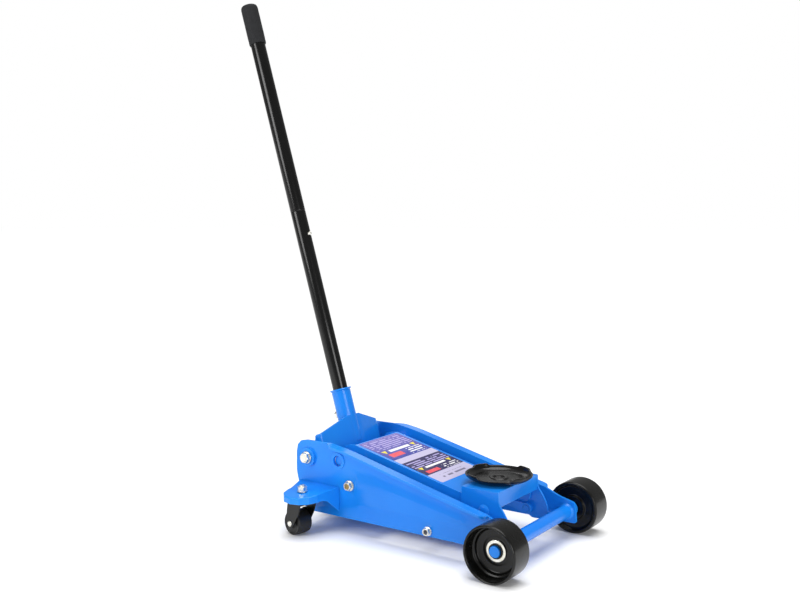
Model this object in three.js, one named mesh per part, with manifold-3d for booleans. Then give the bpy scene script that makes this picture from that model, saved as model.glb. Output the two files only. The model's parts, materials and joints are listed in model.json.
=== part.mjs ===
// Trolley jack: a steel frame on four wheels, a hydraulic lift arm with a level saddle, and a pump handle.
// Millimetres, +X towards the saddle end, +Y to the jack's left, +Z up. The drawing starts from the front
// axle line (x = 0) on the floor (z = 0); the last lines move the origin to the bottom centre of the box.
import * as THREE from "three";
import { mergeVertices } from "three/addons/utils/BufferGeometryUtils.js";
import Module from "manifold-3d";

const wasm = await Module();
wasm.setup();

// Fits
const gap = 0.3; // between pieces that touch
const runningGap = 0.35; // radial, between a pin and its hole
const roundSides = 16; // sides of an ordinary pin or hole
const wheelSides = 32;
const tubeSides = 20;

// Front wheels and axle
const frontWheelRadius = 48;
const frontWheelWidth = 51;
const overallHalfWidth = 180;
const wheelRimWall = 5;
const wheelDishDepth = 27.6;
const wheelHubRadius = 22;
const axleRadius = 12.5;
const axleSpigotRadius = 10;
const axleEndStandOff = 19.1; // how far the axle end stays inside the wheel's outer plane
const washerRadius = 18;
const washerThickness = 2.5;
const clipRadius = 13;
const clipThickness = 1.5;

// Side plates
const plateOuterY = 108.8;
const plateThickness = 4.5;
const plateBottomZ = 28.6;
const plateRearX = -461;
const plateTopZ = 162.5;
const plateFrontX = 20;
const bendFrontX = -44;
const bendFrontZ = 87;
const bendRearX = -332;
const bendRearZ = 156;
const flangeWidth = 15;
const flangeRearX = -384;
const panelHeight = 2.5;
const panelBorder = 6;
const pivotBossRadius = 17;
const pivotBossHeight = 5;
const shaftBossRadius = 15.5;
const shaftBossHeight = 2;

// Lift arm
const armPivotX = -360;
const armPivotZ = 133;
const armShaftRadius = 10;
const armHalfWidth = 68.7;
const armWall = 4;
const armLobeRadius = 20.5;
const armTopRearX = -351;
const armTopRearZ = 156.5;
const armTopFrontX = -119;
const armTopFrontZ = 104;
const ramLugX = -385;
const ramLugZ = 79;
const ramLugRadius = 13;
const ramLugPinRadius = 6;

// Saddle head and its levelling links
const headPinX = -70;
const headPinZ = 82;
const headPinRadius = 8;
const headRearX = -115;
const headFrontX = -42;
const headTopZ = 117;
const headWall = 3.6;
const headFaceBottomZ = 90.5;
const linkOffsetX = 12; // the levelling pins stand this far ahead of the arm's two pins
const linkOffsetZ = -27; // and this far below them
const linkPinRadius = 6;
const linkThickness = 5;
const linkSideGap = 2.2; // to the arm's cheek
const linkInnerY = armHalfWidth - armWall - linkSideGap - linkThickness;
const linkPlay = 0.6; // the front eye is loose on its pin
const linkHeight = 14;

// Saddle
const saddleX = -82;
const saddleRadius = 60;
const saddleRimZ = 129;
const saddleFloorRise = 3.5;
const saddlePostRadius = 11;
const saddlePostLength = 17;
const lugHeight = 4;
const lugCount = 4;
const lugStart = THREE.MathUtils.degToRad(65);

// Hydraulic unit
const ramAxisZ = 62;
const cylinderRadius = 27;
const cylinderFrontX = -262;
const unitFrontX = -402;
const unitRearX = -460;
const unitHalfWidth = 49;
const unitTopZ = 84;
const ramRodRadius = 11;
const crossheadX = -235;
const crossheadRadius = 10;
const ramLinkThickness = 6;
const ramLinkSideGap = 1.5; // to the levelling link
const ramLinkInnerY = linkInnerY - ramLinkSideGap - ramLinkThickness;
const slotRise = 11.5; // the lug pin's travel above its rest height, with clearance
const slotDrop = 12.5; // and below it
const cradleTopZ = 34;
const cradleThickness = 4;
const unitBoltX = -333;
const unitBoltZ = 91;
const unitBoltRadius = 5;
const springRadius = 4;
const springY = ramLinkInnerY - springRadius - 1;
const springWire = 1.1;

// Tie rod at the bottom of the side plates
const tieRodX = -161;
const tieRodZ = 38;
const tieRodRadius = 4;
const tieNutTop = 8;
const tieNutAcross = 13;
const tieWasherRadius = 8.5;
const boltNutRise = 9;
const nutWasherThickness = 2;
const recessDepth = 1.3; // how far a bolt's end stays inside its nut

const tubeRadius = 14.9; // the handle's two tubes
const tubeWall = 2;

// Handle yoke, drawn about its pivot with u forward and w along the handle
const yokePivotX = -431;
const yokePivotZ = 131;
const handleLean = THREE.MathUtils.degToRad(17);
const yokeHalfWidth = 91;
const yokeWall = 5;
const yokeLobeRadius = 24.5;
const handleAxisU = 23.9;
const wingRootU = 24; // where the wings meet the legs
const wingNoseU = 41; // front face of the plate at the socket
const wingNoseY = 16;
const wingTopW = 57; // top of the wings at the socket
const shoulderW = 34; // and at the legs
const legTopRearU = 12;
const socketWall = 4.1;
const socketRadius = tubeRadius + socketWall;
const socketTopW = 111;
const socketBottomW = 6;
const socketRimRadius = socketRadius + 2.2;
const yokeBoltRadius = 7;
const yokeBoltAcross = 18;
const screwW = 62.5;
const screwRadius = 4;

// Pump
const rollerX = -451;
const rollerZ = 139;
const rollerRadius = 7;
const rollerPinRadius = 3;
const plungerX = -450;
const plungerRadius = 6;
const plungerBottomZ = 72;
const plungerStroke = 18.2;
const valveX = -412;
const valveTopZ = 118;
const valveRadius = 5;

// Handle
const handleBottomW = 30;
const handleJointW = 475.7;
const handleTopW = 908;
const spigotLength = 62;
const gripLength = 84;
const gripCrown = 8; // of the grip above the tube's end
const gripTopW = handleTopW + gripCrown;
const gripBottomW = gripTopW - gripLength;
const gripWall = 2.5;
const gripRadius = tubeRadius + gripWall;
const buttonW = 426;
const buttonRadius = 3.6;
const buttonStandOff = 5.5;

// Casters
const casterX = -401;
const casterY = 162;
const casterWheelRadius = 22.5;
const casterWheelWidth = 32;
const casterTrail = 13;
const casterTurn = THREE.MathUtils.degToRad(-10);
const casterAxleRadius = 3.5;
const forkTopZ = 63;
const forkWall = 2.5;
const forkWheelGap = 1.2; // on each side of the caster wheel
const forkHalfGap = casterWheelWidth / 2 + forkWheelGap;
const casterBoltRadius = 5;
const shelfRootZ = 85; // top of the shelf where it meets the side plate
const shelfTipZ = 79; // and at its outer end
const shelfWall = 3;
const shelfRootRearX = -452;
const shelfRootFrontX = -357;
const shelfNoseRadius = 35.5;
const shelfLipZ = 66;
const shelfFootZ = 39;

const paint = { color: 0x1673e0, roughness: 0.32, metalness: 0.1 };
const blackGloss = { color: 0x0b0b0c, roughness: 0.25, metalness: 0.3 };
const blackPlastic = { color: 0x101011, roughness: 0.45, metalness: 0 };
const gripRubber = { color: 0x2a2b2c, roughness: 0.85, metalness: 0 };
const zinc = { color: 0xc9c6bb, roughness: 0.35, metalness: 0.9 };
const steel = { color: 0x9a9ea3, roughness: 0.4, metalness: 0.9 };
const castIron = { color: 0x35383c, roughness: 0.6, metalness: 0.5 };

// ---- solids from geometries ----

function bareGeometry(geometry) {
  const bare = geometry.clone();
  bare.deleteAttribute("normal");
  bare.deleteAttribute("uv");
  return mergeVertices(bare, 1e-4);
}

function signedVolume(geometry) {
  const position = geometry.attributes.position;
  const index = geometry.index;
  const a = new THREE.Vector3();
  const b = new THREE.Vector3();
  const c = new THREE.Vector3();
  let total = 0;
  for (let i = 0; i < index.count; i += 3) {
    a.fromBufferAttribute(position, index.getX(i));
    b.fromBufferAttribute(position, index.getX(i + 1));
    c.fromBufferAttribute(position, index.getX(i + 2));
    total += a.dot(b.cross(c)) / 6;
  }
  return total;
}

function faceOutward(geometry) {
  if (signedVolume(geometry) > 0) return geometry;
  const index = geometry.index;
  for (let i = 0; i < index.count; i += 3) {
    const second = index.getX(i + 1);
    index.setX(i + 1, index.getX(i + 2));
    index.setX(i + 2, second);
  }
  return geometry;
}

function dropSlivers(geometry) {
  const kept = [];
  const index = geometry.index;
  for (let i = 0; i < index.count; i += 3) {
    const corners = [index.getX(i), index.getX(i + 1), index.getX(i + 2)];
    if (new Set(corners).size === 3) kept.push(...corners);
  }
  geometry.setIndex(kept);
  return geometry;
}

function toSolid(geometry) {
  const closed = faceOutward(dropSlivers(bareGeometry(geometry)));
  const vertProperties = Float32Array.from(closed.attributes.position.array);
  const triVerts = Uint32Array.from(closed.index.array);
  return new wasm.Manifold(new wasm.Mesh({ numProp: 3, vertProperties, triVerts }));
}

function toGeometry(solid) {
  const mesh = solid.getMesh();
  const geometry = new THREE.BufferGeometry();
  geometry.setAttribute("position", new THREE.BufferAttribute(Float32Array.from(mesh.vertProperties), 3));
  geometry.setIndex(new THREE.BufferAttribute(Uint32Array.from(mesh.triVerts), 1));
  return geometry;
}

function join(first, ...others) {
  return toGeometry(others.reduce((sum, other) => sum.add(toSolid(other)), toSolid(first)));
}

function cut(first, ...tools) {
  return toGeometry(tools.reduce((rest, tool) => rest.subtract(toSolid(tool)), toSolid(first)));
}

function common(first, other) {
  return toGeometry(toSolid(first).intersect(toSolid(other)));
}

// ---- shapes ----

// Closed outline through corners [a, b, r], each corner eased over the length r on both sides, or over
// what its shorter side has room for.
function roundedOutline(corners) {
  const shape = new THREE.Shape();
  const count = corners.length;
  corners.forEach((corner, i) => {
    const here = new THREE.Vector2(corner[0], corner[1]);
    const before = new THREE.Vector2(...corners[(i + count - 1) % count].slice(0, 2));
    const after = new THREE.Vector2(...corners[(i + 1) % count].slice(0, 2));
    const room = 0.49 * Math.min(here.distanceTo(before), here.distanceTo(after));
    const ease = Math.min(corner[2] || 0, room);
    const entry = here.clone().add(before.sub(here).setLength(ease));
    const exit = here.clone().add(after.sub(here).setLength(ease));
    if (i === 0) shape.moveTo(entry.x, entry.y);
    else shape.lineTo(entry.x, entry.y);
    if (ease > 0) shape.quadraticCurveTo(here.x, here.y, exit.x, exit.y);
  });
  shape.closePath();
  return shape;
}

function circleOutline(a, b, radius) {
  const shape = new THREE.Shape();
  shape.absarc(a, b, radius, 0, Math.PI * 2);
  return shape;
}

function regularOutline(a, b, across, sides) {
  const radius = across / 2 / Math.cos(Math.PI / sides);
  const corners = Array.from({ length: sides }, (_, i) => {
    const angle = ((i + 0.5) * 2 * Math.PI) / sides;
    return [a + radius * Math.cos(angle), b + radius * Math.sin(angle), 0];
  });
  return roundedOutline(corners);
}

// An outline in the XZ plane, thickened from y0 to y1.
function slabXZ(shape, y0, y1, curveSegments = 3) {
  const geometry = new THREE.ExtrudeGeometry(shape, { depth: y1 - y0, bevelEnabled: false, curveSegments });
  return geometry.rotateX(Math.PI / 2).translate(0, y1, 0);
}

// An outline in the XY plane, thickened from z0 to z1.
function slabXY(shape, z0, z1, curveSegments = 3) {
  const geometry = new THREE.ExtrudeGeometry(shape, { depth: z1 - z0, bevelEnabled: false, curveSegments });
  return geometry.translate(0, 0, z0);
}

// An outline in the YZ plane, thickened from x0 to x1.
function slabYZ(shape, x0, x1, curveSegments = 3) {
  const geometry = new THREE.ExtrudeGeometry(shape, { depth: x1 - x0, bevelEnabled: false, curveSegments });
  return geometry.rotateX(Math.PI / 2).rotateZ(Math.PI / 2).translate(x0, 0, 0);
}

function box(x0, x1, y0, y1, z0, z1) {
  const geometry = new THREE.BoxGeometry(x1 - x0, y1 - y0, z1 - z0);
  return geometry.translate((x0 + x1) / 2, (y0 + y1) / 2, (z0 + z1) / 2);
}

function rodY(radius, x, z, y0, y1, sides = roundSides) {
  return new THREE.CylinderGeometry(radius, radius, y1 - y0, sides).translate(x, (y0 + y1) / 2, z);
}

function rodZ(radius, x, y, z0, z1, sides = roundSides) {
  const geometry = new THREE.CylinderGeometry(radius, radius, z1 - z0, sides).rotateX(Math.PI / 2);
  return geometry.translate(x, y, (z0 + z1) / 2);
}

function rodX(radius, y, z, x0, x1, sides = roundSides) {
  const geometry = new THREE.CylinderGeometry(radius, radius, x1 - x0, sides).rotateZ(Math.PI / 2);
  return geometry.translate((x0 + x1) / 2, y, z);
}

// A profile of [radius, height] pairs turned about an axis that then lies along Y or along Z.
function turned(profile, sides) {
  return faceOutward(new THREE.LatheGeometry(profile.map(([r, h]) => new THREE.Vector2(r, h)), sides));
}

function turnedY(profile, x, z, sides = roundSides) {
  return turned(profile, sides).translate(x, 0, z);
}

function turnedZ(profile, x, y, sides = roundSides) {
  return turned(profile, sides).rotateX(Math.PI / 2).translate(x, y, 0);
}

// Wire spring: a helix of the given radius from start to end, as one closed swept wire.
function coilSpring(start, end, radius, wire, turns) {
  const axis = new THREE.Vector3().subVectors(end, start);
  const along = axis.clone().normalize();
  const side = new THREE.Vector3(0, 1, 0).cross(along).normalize();
  const other = new THREE.Vector3().crossVectors(along, side);
  const stepsPerTurn = 8;
  const points = Array.from({ length: turns * stepsPerTurn + 1 }, (_, i) => {
    const angle = (i * 2 * Math.PI) / stepsPerTurn;
    const point = start.clone().addScaledVector(axis, i / (turns * stepsPerTurn));
    point.addScaledVector(side, radius * Math.cos(angle));
    return point.addScaledVector(other, radius * Math.sin(angle));
  });
  const path = new THREE.CatmullRomCurve3(points);
  const section = new THREE.Shape();
  section.absarc(0, 0, wire, 0, Math.PI * 2);
  return new THREE.ExtrudeGeometry(section, {
    steps: turns * stepsPerTurn, extrudePath: path, bevelEnabled: false, curveSegments: 2,
  });
}

// ---- the parts: each function gives geometry in the jack's own coordinates ----


function sidePlateOutline() {
  const rearFootX = plateRearX + 20;
  return roundedOutline([
    [rearFootX, plateBottomZ, 6], [plateFrontX, plateBottomZ, 5], [plateFrontX - 3, 66, 6],
    [-16, 74.5, 8], [bendFrontX, bendFrontZ, 4], [bendRearX, bendRearZ, 24],
    [flangeRearX + 4, plateTopZ + 1, 10], [plateRearX + 1, plateTopZ, 24], [plateRearX, 100, 10],
  ]);
}

function panelOutline() {
  return roundedOutline([
    [-314, 57, 4], [-316, 110, 6], [-276, 107, 10], [-97, 72, 8], [-84, 66, 6], [-84, 60, 4],
  ]);
}

function panelBlock(innerY, outerY) {
  const geometry = new THREE.ExtrudeGeometry(panelOutline(), {
    depth: outerY - innerY, bevelEnabled: true, bevelThickness: panelHeight, bevelSize: panelBorder,
    bevelSegments: 1, curveSegments: 3,
  });
  return geometry.rotateX(Math.PI / 2).translate(0, outerY, 0);
}

// The right-hand plate lies at negative Y; the left-hand one is its mirror.
function sidePlate() {
  const outer = -plateOuterY;
  const inner = outer + plateThickness;
  const flangeTop = roundedOutline([
    [bendFrontX + 2, bendFrontZ - 0.5, 0], [bendRearX, bendRearZ, 24], [flangeRearX, plateTopZ + 1, 0],
    [flangeRearX, plateTopZ + 1 - plateThickness, 0], [bendRearX - 1, bendRearZ - plateThickness, 24],
    [bendFrontX + 2, bendFrontZ - plateThickness - 0.5, 0],
  ]);
  const flangePlan = roundedOutline([
    [flangeRearX - 1, inner + 1, 0], [flangeRearX - 1, outer - 1, 3], [flangeRearX + 14, outer - flangeWidth, 8],
    [bendFrontX - 4, outer - flangeWidth, 6], [bendFrontX + 2, outer - 5, 2], [bendFrontX + 2, inner + 1, 0],
  ]);
  const flange = common(slabXZ(flangeTop, outer - flangeWidth - 1, inner), slabXY(flangePlan, 0, 200));
  const embossed = join(
    slabXZ(sidePlateOutline(), outer, inner),
    flange,
    panelBlock(outer, inner),
    rodY(pivotBossRadius, yokePivotX, yokePivotZ, outer - pivotBossHeight, inner),
    rodY(shaftBossRadius, armPivotX, armPivotZ, outer - shaftBossHeight, inner),
  );
  const outside = outer - 20;
  const inside = inner + 20;
  return cut(
    embossed,
    panelBlock(outer + plateThickness, inner + plateThickness),
    rodY(axleRadius + gap, 0, frontWheelRadius, outside, inside),
    rodY(yokeBoltRadius + gap, yokePivotX, yokePivotZ, outside, inside),
    rodY(armShaftRadius + gap, armPivotX, armPivotZ, outside, inside),
    rodY(unitBoltRadius + gap, unitBoltX, unitBoltZ, outside, inside),
    rodY(tieRodRadius + gap, tieRodX, tieRodZ, outside, inside, 16),
  );
}

function frontAxle() {
  const end = overallHalfWidth - axleEndStandOff;
  const shoulder = overallHalfWidth - frontWheelWidth - 1.5;
  const weldOuter = plateOuterY - plateThickness - gap;
  const half = [
    [axleRadius, weldOuter], [axleRadius + 3, weldOuter], [axleRadius, weldOuter - 4],
  ];
  const right = [
    [0, -end], [axleSpigotRadius - 1, -end], [axleSpigotRadius, -end + 1], [axleSpigotRadius, -shoulder],
    [axleRadius, -shoulder], ...half.map(([r, y]) => [r, -y]),
  ];
  const left = right.map(([r, y]) => [r, -y]).reverse();
  return turnedY([...right, ...left], 0, frontWheelRadius);
}

// Wheel standing between the planes y = 0 (inner) and y = width (outer), dished on its outer face.
function frontWheel(side) {
  const bore = axleSpigotRadius + runningGap;
  const inside = frontWheelRadius - wheelRimWall;
  const floor = frontWheelWidth - wheelDishDepth;
  const profile = [
    [bore, 2], [wheelHubRadius, 2], [wheelHubRadius + 1, 6], [inside - 4, 6], [inside - 1, 0],
    [frontWheelRadius - 2, 0], [frontWheelRadius, 2], [frontWheelRadius, frontWheelWidth - 2],
    [frontWheelRadius - 1, frontWheelWidth - 0.4], [inside + 1.5, frontWheelWidth],
    [inside, frontWheelWidth - 1.5], [inside - 1.5, floor + 7], [inside - 5, floor + 6],
    [inside - 6.5, floor], [wheelHubRadius + 2, floor - 1], [wheelHubRadius, floor],
    [bore, floor], [bore, 2],
  ];
  const inner = overallHalfWidth - frontWheelWidth;
  const placed = profile.map(([r, y]) => [r, side * (inner + y)]);
  return turnedY(placed, 0, frontWheelRadius, wheelSides);
}

const hubFaceY = overallHalfWidth - wheelDishDepth;

function ring(inner, outer, y0, y1, sides = roundSides) {
  const profile = [[inner, y0], [outer, y0], [outer, y1], [inner, y1], [inner, y0]];
  return turnedY(profile, 0, frontWheelRadius, sides);
}

function wheelWasher(side) {
  const y0 = hubFaceY + gap;
  return ring(axleSpigotRadius + gap, washerRadius, side * y0, side * (y0 + washerThickness));
}

function axleClip(side) {
  const y0 = hubFaceY + gap + washerThickness + gap;
  return ring(axleSpigotRadius + gap, clipRadius, side * y0, side * (y0 + clipThickness));
}

// Pressed shelf that carries a caster: a tapered tray, open below and towards the side plate.
function casterBracket() {
  const rootY = -plateOuterY - gap;
  const noseY = -casterY;
  const plan = (inset, root) => {
    const shape = new THREE.Shape();
    const radius = shelfNoseRadius - inset;
    shape.moveTo(shelfRootRearX + inset, root);
    shape.lineTo(casterX - radius, noseY + 8);
    shape.absarc(casterX, noseY, radius, Math.PI, 2 * Math.PI);
    shape.lineTo(casterX + radius, noseY + 8);
    shape.lineTo(shelfRootFrontX - inset, root);
    shape.closePath();
    return shape;
  };
  const under = roundedOutline([
    [rootY + 5, shelfFootZ - 0.5, 0], [rootY + 5, 0, 0], [-260, 0, 0], [-260, shelfLipZ, 0],
    [noseY + 22, shelfLipZ, 10], [rootY, shelfFootZ, 0],
  ]);
  const over = roundedOutline([
    [rootY + 5, shelfRootZ + 0.6, 0], [-260, shelfTipZ - 6.5, 0], [-260, 120, 0], [rootY + 5, 120, 0],
  ]);
  const inner = roundedOutline([
    [rootY + 5, shelfRootZ + 0.6 - shelfWall, 0], [-260, shelfTipZ - 6.5 - shelfWall, 0],
    [-260, 0, 0], [rootY + 5, 0, 0],
  ]);
  const hollow = common(slabXY(plan(shelfWall, rootY + 5), 0, 120), slabYZ(inner, -500, -300));
  return cut(
    slabXY(plan(0, rootY), 20, 110),
    hollow,
    slabYZ(under, -500, -300),
    slabYZ(over, -500, -300),
    rodZ(casterBoltRadius + gap, casterX, noseY, 50, 110),
  );
}

const shelfUnderZ = shelfRootZ - shelfWall - ((shelfRootZ - shelfTipZ + 7) * (casterY - plateOuterY)) / 151;

// Caster pieces are drawn about the swivel axis, wheel trailing towards -X.
function casterFork() {
  const reach = forkHalfGap + forkWall;
  const cheek = roundedOutline([
    [-19, forkTopZ, 0], [16, forkTopZ, 0], [12, 46, 8], [-casterTrail + 9.5, 20, 4],
    [-casterTrail, casterWheelRadius - 11, 6], [-casterTrail - 9.5, 20, 4], [-casterTrail - 9.5, 40, 8],
  ]);
  const plate = slabXY(roundedOutline([
    [-19, -reach, 3], [17, -reach, 3], [17, reach, 3], [-19, reach, 3],
  ]), forkTopZ - forkWall, forkTopZ);
  const body = join(
    plate,
    slabXZ(cheek, -reach, -forkHalfGap),
    slabXZ(cheek, forkHalfGap, reach),
    rodZ(15, 0, 0, forkTopZ - 1, shelfUnderZ - 2.5),
  );
  return cut(
    body,
    rodZ(casterBoltRadius + gap, 0, 0, forkTopZ - 10, 100),
    rodY(casterAxleRadius + gap, -casterTrail, casterWheelRadius, -30, 30, 16),
  );
}

function casterWheel() {
  const half = casterWheelWidth / 2;
  const bore = casterAxleRadius + runningGap;
  const profile = [
    [bore, -half], [9, -half], [10, -half + 2], [casterWheelRadius - 5, -half + 2],
    [casterWheelRadius - 3.5, -half + 0.5], [casterWheelRadius - 1.5, -half + 0.8],
    [casterWheelRadius, -half + 3], [casterWheelRadius, half - 3], [casterWheelRadius - 1.5, half - 0.8],
    [casterWheelRadius - 3.5, half - 0.5], [casterWheelRadius - 5, half - 2], [10, half - 2], [9, half],
    [bore, half], [bore, -half],
  ];
  return turnedY(profile, -casterTrail, casterWheelRadius, tubeSides);
}

function casterAxle() {
  const reach = forkHalfGap + forkWall + gap;
  const profile = [
    [0, -reach - 2], [4, -reach - 1.8], [5.5, -reach], [casterAxleRadius, -reach],
    [casterAxleRadius, reach], [5.5, reach], [4, reach + 1.8], [0, reach + 2],
  ];
  return turnedY(profile, -casterTrail, casterWheelRadius);
}

// Swivel bolt: head inside the fork, hexagon nut on the shelf.
function casterBolt() {
  const shelfTop = shelfUnderZ + shelfWall + 1.2;
  return join(
    rodZ(casterBoltRadius, 0, 0, forkTopZ - forkWall - 4, shelfTop + 12),
    rodZ(9, 0, 0, forkTopZ - forkWall - 5, forkTopZ - forkWall - gap),
    rodZ(9.5, 0, 0, shelfTop, shelfTop + 1.5),
    slabXY(regularOutline(0, 0, 16, 6), shelfTop + 1, shelfTop + 9),
  );
}


function armCheekOutline() {
  return roundedOutline([
    [armPivotX - armLobeRadius, armPivotZ + armLobeRadius, 20], [armTopRearX, armTopRearZ, 8],
    [armTopFrontX, armTopFrontZ, 6], [headPinX - 8, headPinZ + 20, 6], [headPinX + 17, headPinZ + 14, 12],
    [headPinX + 17, headPinZ - 17, 14], [headPinX - 14, headPinZ - 16.5, 10], [-180, 74, 20],
    [-300, 96, 20], [armPivotX + 8, armPivotZ - 26, 8], [ramLugX + ramLugRadius, ramLugZ + 6, 4],
    [ramLugX + ramLugRadius, ramLugZ - ramLugRadius, 11], [ramLugX - ramLugRadius, ramLugZ - ramLugRadius, 11],
    [ramLugX - ramLugRadius, ramLugZ + 6, 6], [armPivotX - armLobeRadius, armPivotZ - 10, 10],
  ]);
}

function liftArm() {
  const outer = armHalfWidth;
  const inner = armHalfWidth - armWall;
  const topStrip = roundedOutline([
    [armTopRearX, armTopRearZ, 0], [armTopFrontX, armTopFrontZ, 0],
    [armTopFrontX, armTopFrontZ - armWall, 0], [armTopRearX, armTopRearZ - armWall, 0],
  ]);
  const crossTube = turnedY([
    [armShaftRadius + runningGap, -inner - 1], [armShaftRadius + 4, -inner - 1],
    [armShaftRadius + 4, inner + 1], [armShaftRadius + runningGap, inner + 1],
    [armShaftRadius + runningGap, -inner - 1],
  ], armPivotX, armPivotZ);
  const body = join(
    slabXZ(armCheekOutline(), -outer, -inner),
    slabXZ(armCheekOutline(), inner, outer),
    slabXZ(topStrip, -outer, outer),
  );
  const bored = cut(
    body,
    rodY(armShaftRadius + runningGap, armPivotX, armPivotZ, -outer - 5, outer + 5),
    rodY(headPinRadius + runningGap, headPinX, headPinZ, -outer - 5, outer + 5),
    rodY(ramLugPinRadius + gap, ramLugX, ramLugZ, -outer - 5, outer + 5),
  );
  return join(bored, crossTube);
}

function armPivotShaft() {
  return rodY(armShaftRadius, armPivotX, armPivotZ, -plateOuterY - 1.2, plateOuterY + 1.2);
}

function ramLugPin(side) {
  const outer = armHalfWidth + 2;
  const inner = ramLinkInnerY - 3;
  return rodY(ramLugPinRadius, ramLugX, ramLugZ, Math.min(side * outer, side * inner),
    Math.max(side * outer, side * inner));
}

function headCheekOutline() {
  return roundedOutline([
    [headRearX, headTopZ, 3], [headFrontX, headTopZ, 2], [headFrontX + 1, 95, 6], [-32, 84, 8],
    [-23, 68, 8], [-19, 52, 8], [-24, 38, 8], [-56, 36, 10], [-66, 58, 10], [-98, 66, 10],
    [headRearX, 86, 8],
  ]);
}

const headOuterY = armHalfWidth + gap + headWall + 0.4;

function saddleHead() {
  const outer = headOuterY;
  const inner = outer - headWall;
  const body = join(
    slabXZ(headCheekOutline(), -outer, -inner),
    slabXZ(headCheekOutline(), inner, outer),
    box(headRearX, headFrontX, -inner - 1, inner + 1, headTopZ - headWall, headTopZ),
    box(headFrontX - headWall, headFrontX, -inner - 1, inner + 1, headFaceBottomZ, headTopZ - 1),
  );
  return cut(
    body,
    rodY(headPinRadius + gap, headPinX, headPinZ, -outer - 5, outer + 5),
    rodY(linkPinRadius + gap, headPinX + linkOffsetX, headPinZ + linkOffsetZ, -outer - 5, outer + 5),
    rodZ(saddlePostRadius + runningGap, saddleX, 0, headTopZ - 10, headTopZ + 5),
  );
}

// Round pin with a low domed head outside each cheek.
function domedPin(radius, x, z, halfLength) {
  const dome = radius + 2.5;
  const profile = [
    [0, -halfLength - 4], [dome * 0.6, -halfLength - 3], [dome, -halfLength], [radius, -halfLength],
    [radius, halfLength], [dome, halfLength], [dome * 0.6, halfLength + 3], [0, halfLength + 4],
  ];
  return turnedY(profile, x, z);
}

function levelLink(side) {
  const rearX = armPivotX + linkOffsetX;
  const rearZ = armPivotZ + linkOffsetZ;
  const frontX = headPinX + linkOffsetX;
  const frontZ = headPinZ + linkOffsetZ;
  const length = Math.hypot(frontX - rearX, frontZ - rearZ);
  const y0 = Math.min(side * linkInnerY, side * (linkInnerY + linkThickness));
  const eye = linkHeight / 2 + 3;
  const bar = new THREE.Shape();
  bar.absarc(0, 0, eye, Math.PI / 2 + 0.35, 1.5 * Math.PI - 0.35);
  bar.lineTo(12, -linkHeight / 2);
  bar.lineTo(length - 12, -linkHeight / 2);
  bar.absarc(length, 0, eye, -Math.PI / 2 - 0.35 + 2 * Math.PI, Math.PI / 2 + 0.35 + 2 * Math.PI);
  bar.lineTo(length - 12, linkHeight / 2);
  bar.lineTo(12, linkHeight / 2);
  bar.closePath();
  const flat = cut(
    slabXZ(bar, y0, y0 + linkThickness, 10),
    rodY(linkPinRadius + runningGap, 0, 0, y0 - 5, y0 + linkThickness + 5),
    rodY(linkPinRadius + linkPlay, length, 0, y0 - 5, y0 + linkThickness + 5),
  );
  return flat.rotateY(-Math.atan2(frontZ - rearZ, frontX - rearX)).translate(rearX, 0, rearZ);
}

function linkFrontPin(side) {
  const outer = headOuterY + 1.5;
  const inner = linkInnerY - 0.5;
  return rodY(linkPinRadius, headPinX + linkOffsetX, headPinZ + linkOffsetZ, Math.min(side * outer, side * inner),
    Math.max(side * outer, side * inner));
}

function linkAnchorShaft() {
  const half = linkInnerY + linkThickness + 1;
  return rodY(linkPinRadius, armPivotX + linkOffsetX, armPivotZ + linkOffsetZ, -half, half);
}

function saddle() {
  const seat = headTopZ + gap;
  const floor = seat + saddleFloorRise;
  const profile = [
    [0, seat - saddlePostLength], [saddlePostRadius - 1, seat - saddlePostLength],
    [saddlePostRadius, seat - saddlePostLength + 1], [saddlePostRadius, seat], [saddleRadius - 20, seat],
    [saddleRadius - 12, seat + 1.5], [saddleRadius - 3, saddleRimZ - 5], [saddleRadius, saddleRimZ - 2],
    [saddleRadius, saddleRimZ], [saddleRadius - 4, saddleRimZ], [saddleRadius - 6, saddleRimZ - 4],
    [saddleRadius - 15, floor], [14, floor], [12.5, floor + 2], [9, floor + 2], [8, floor - 0.5],
    [0, floor - 0.5],
  ];
  const dish = turnedZ(profile, saddleX, 0, wheelSides);
  const lugSector = (i) => {
    const middle = lugStart + (i * 2 * Math.PI) / lugCount;
    const spread = 0.28;
    const shape = new THREE.Shape();
    shape.absarc(0, 0, saddleRadius + 1.5, middle - spread, middle + spread);
    shape.absarc(0, 0, saddleRadius - 5, middle + spread, middle - spread, true);
    shape.closePath();
    return slabXY(shape, saddleRimZ - 4, saddleRimZ + lugHeight, 2).translate(saddleX, 0, 0);
  };
  return join(dish, ...Array.from({ length: lugCount }, (_, i) => lugSector(i)));
}

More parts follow.
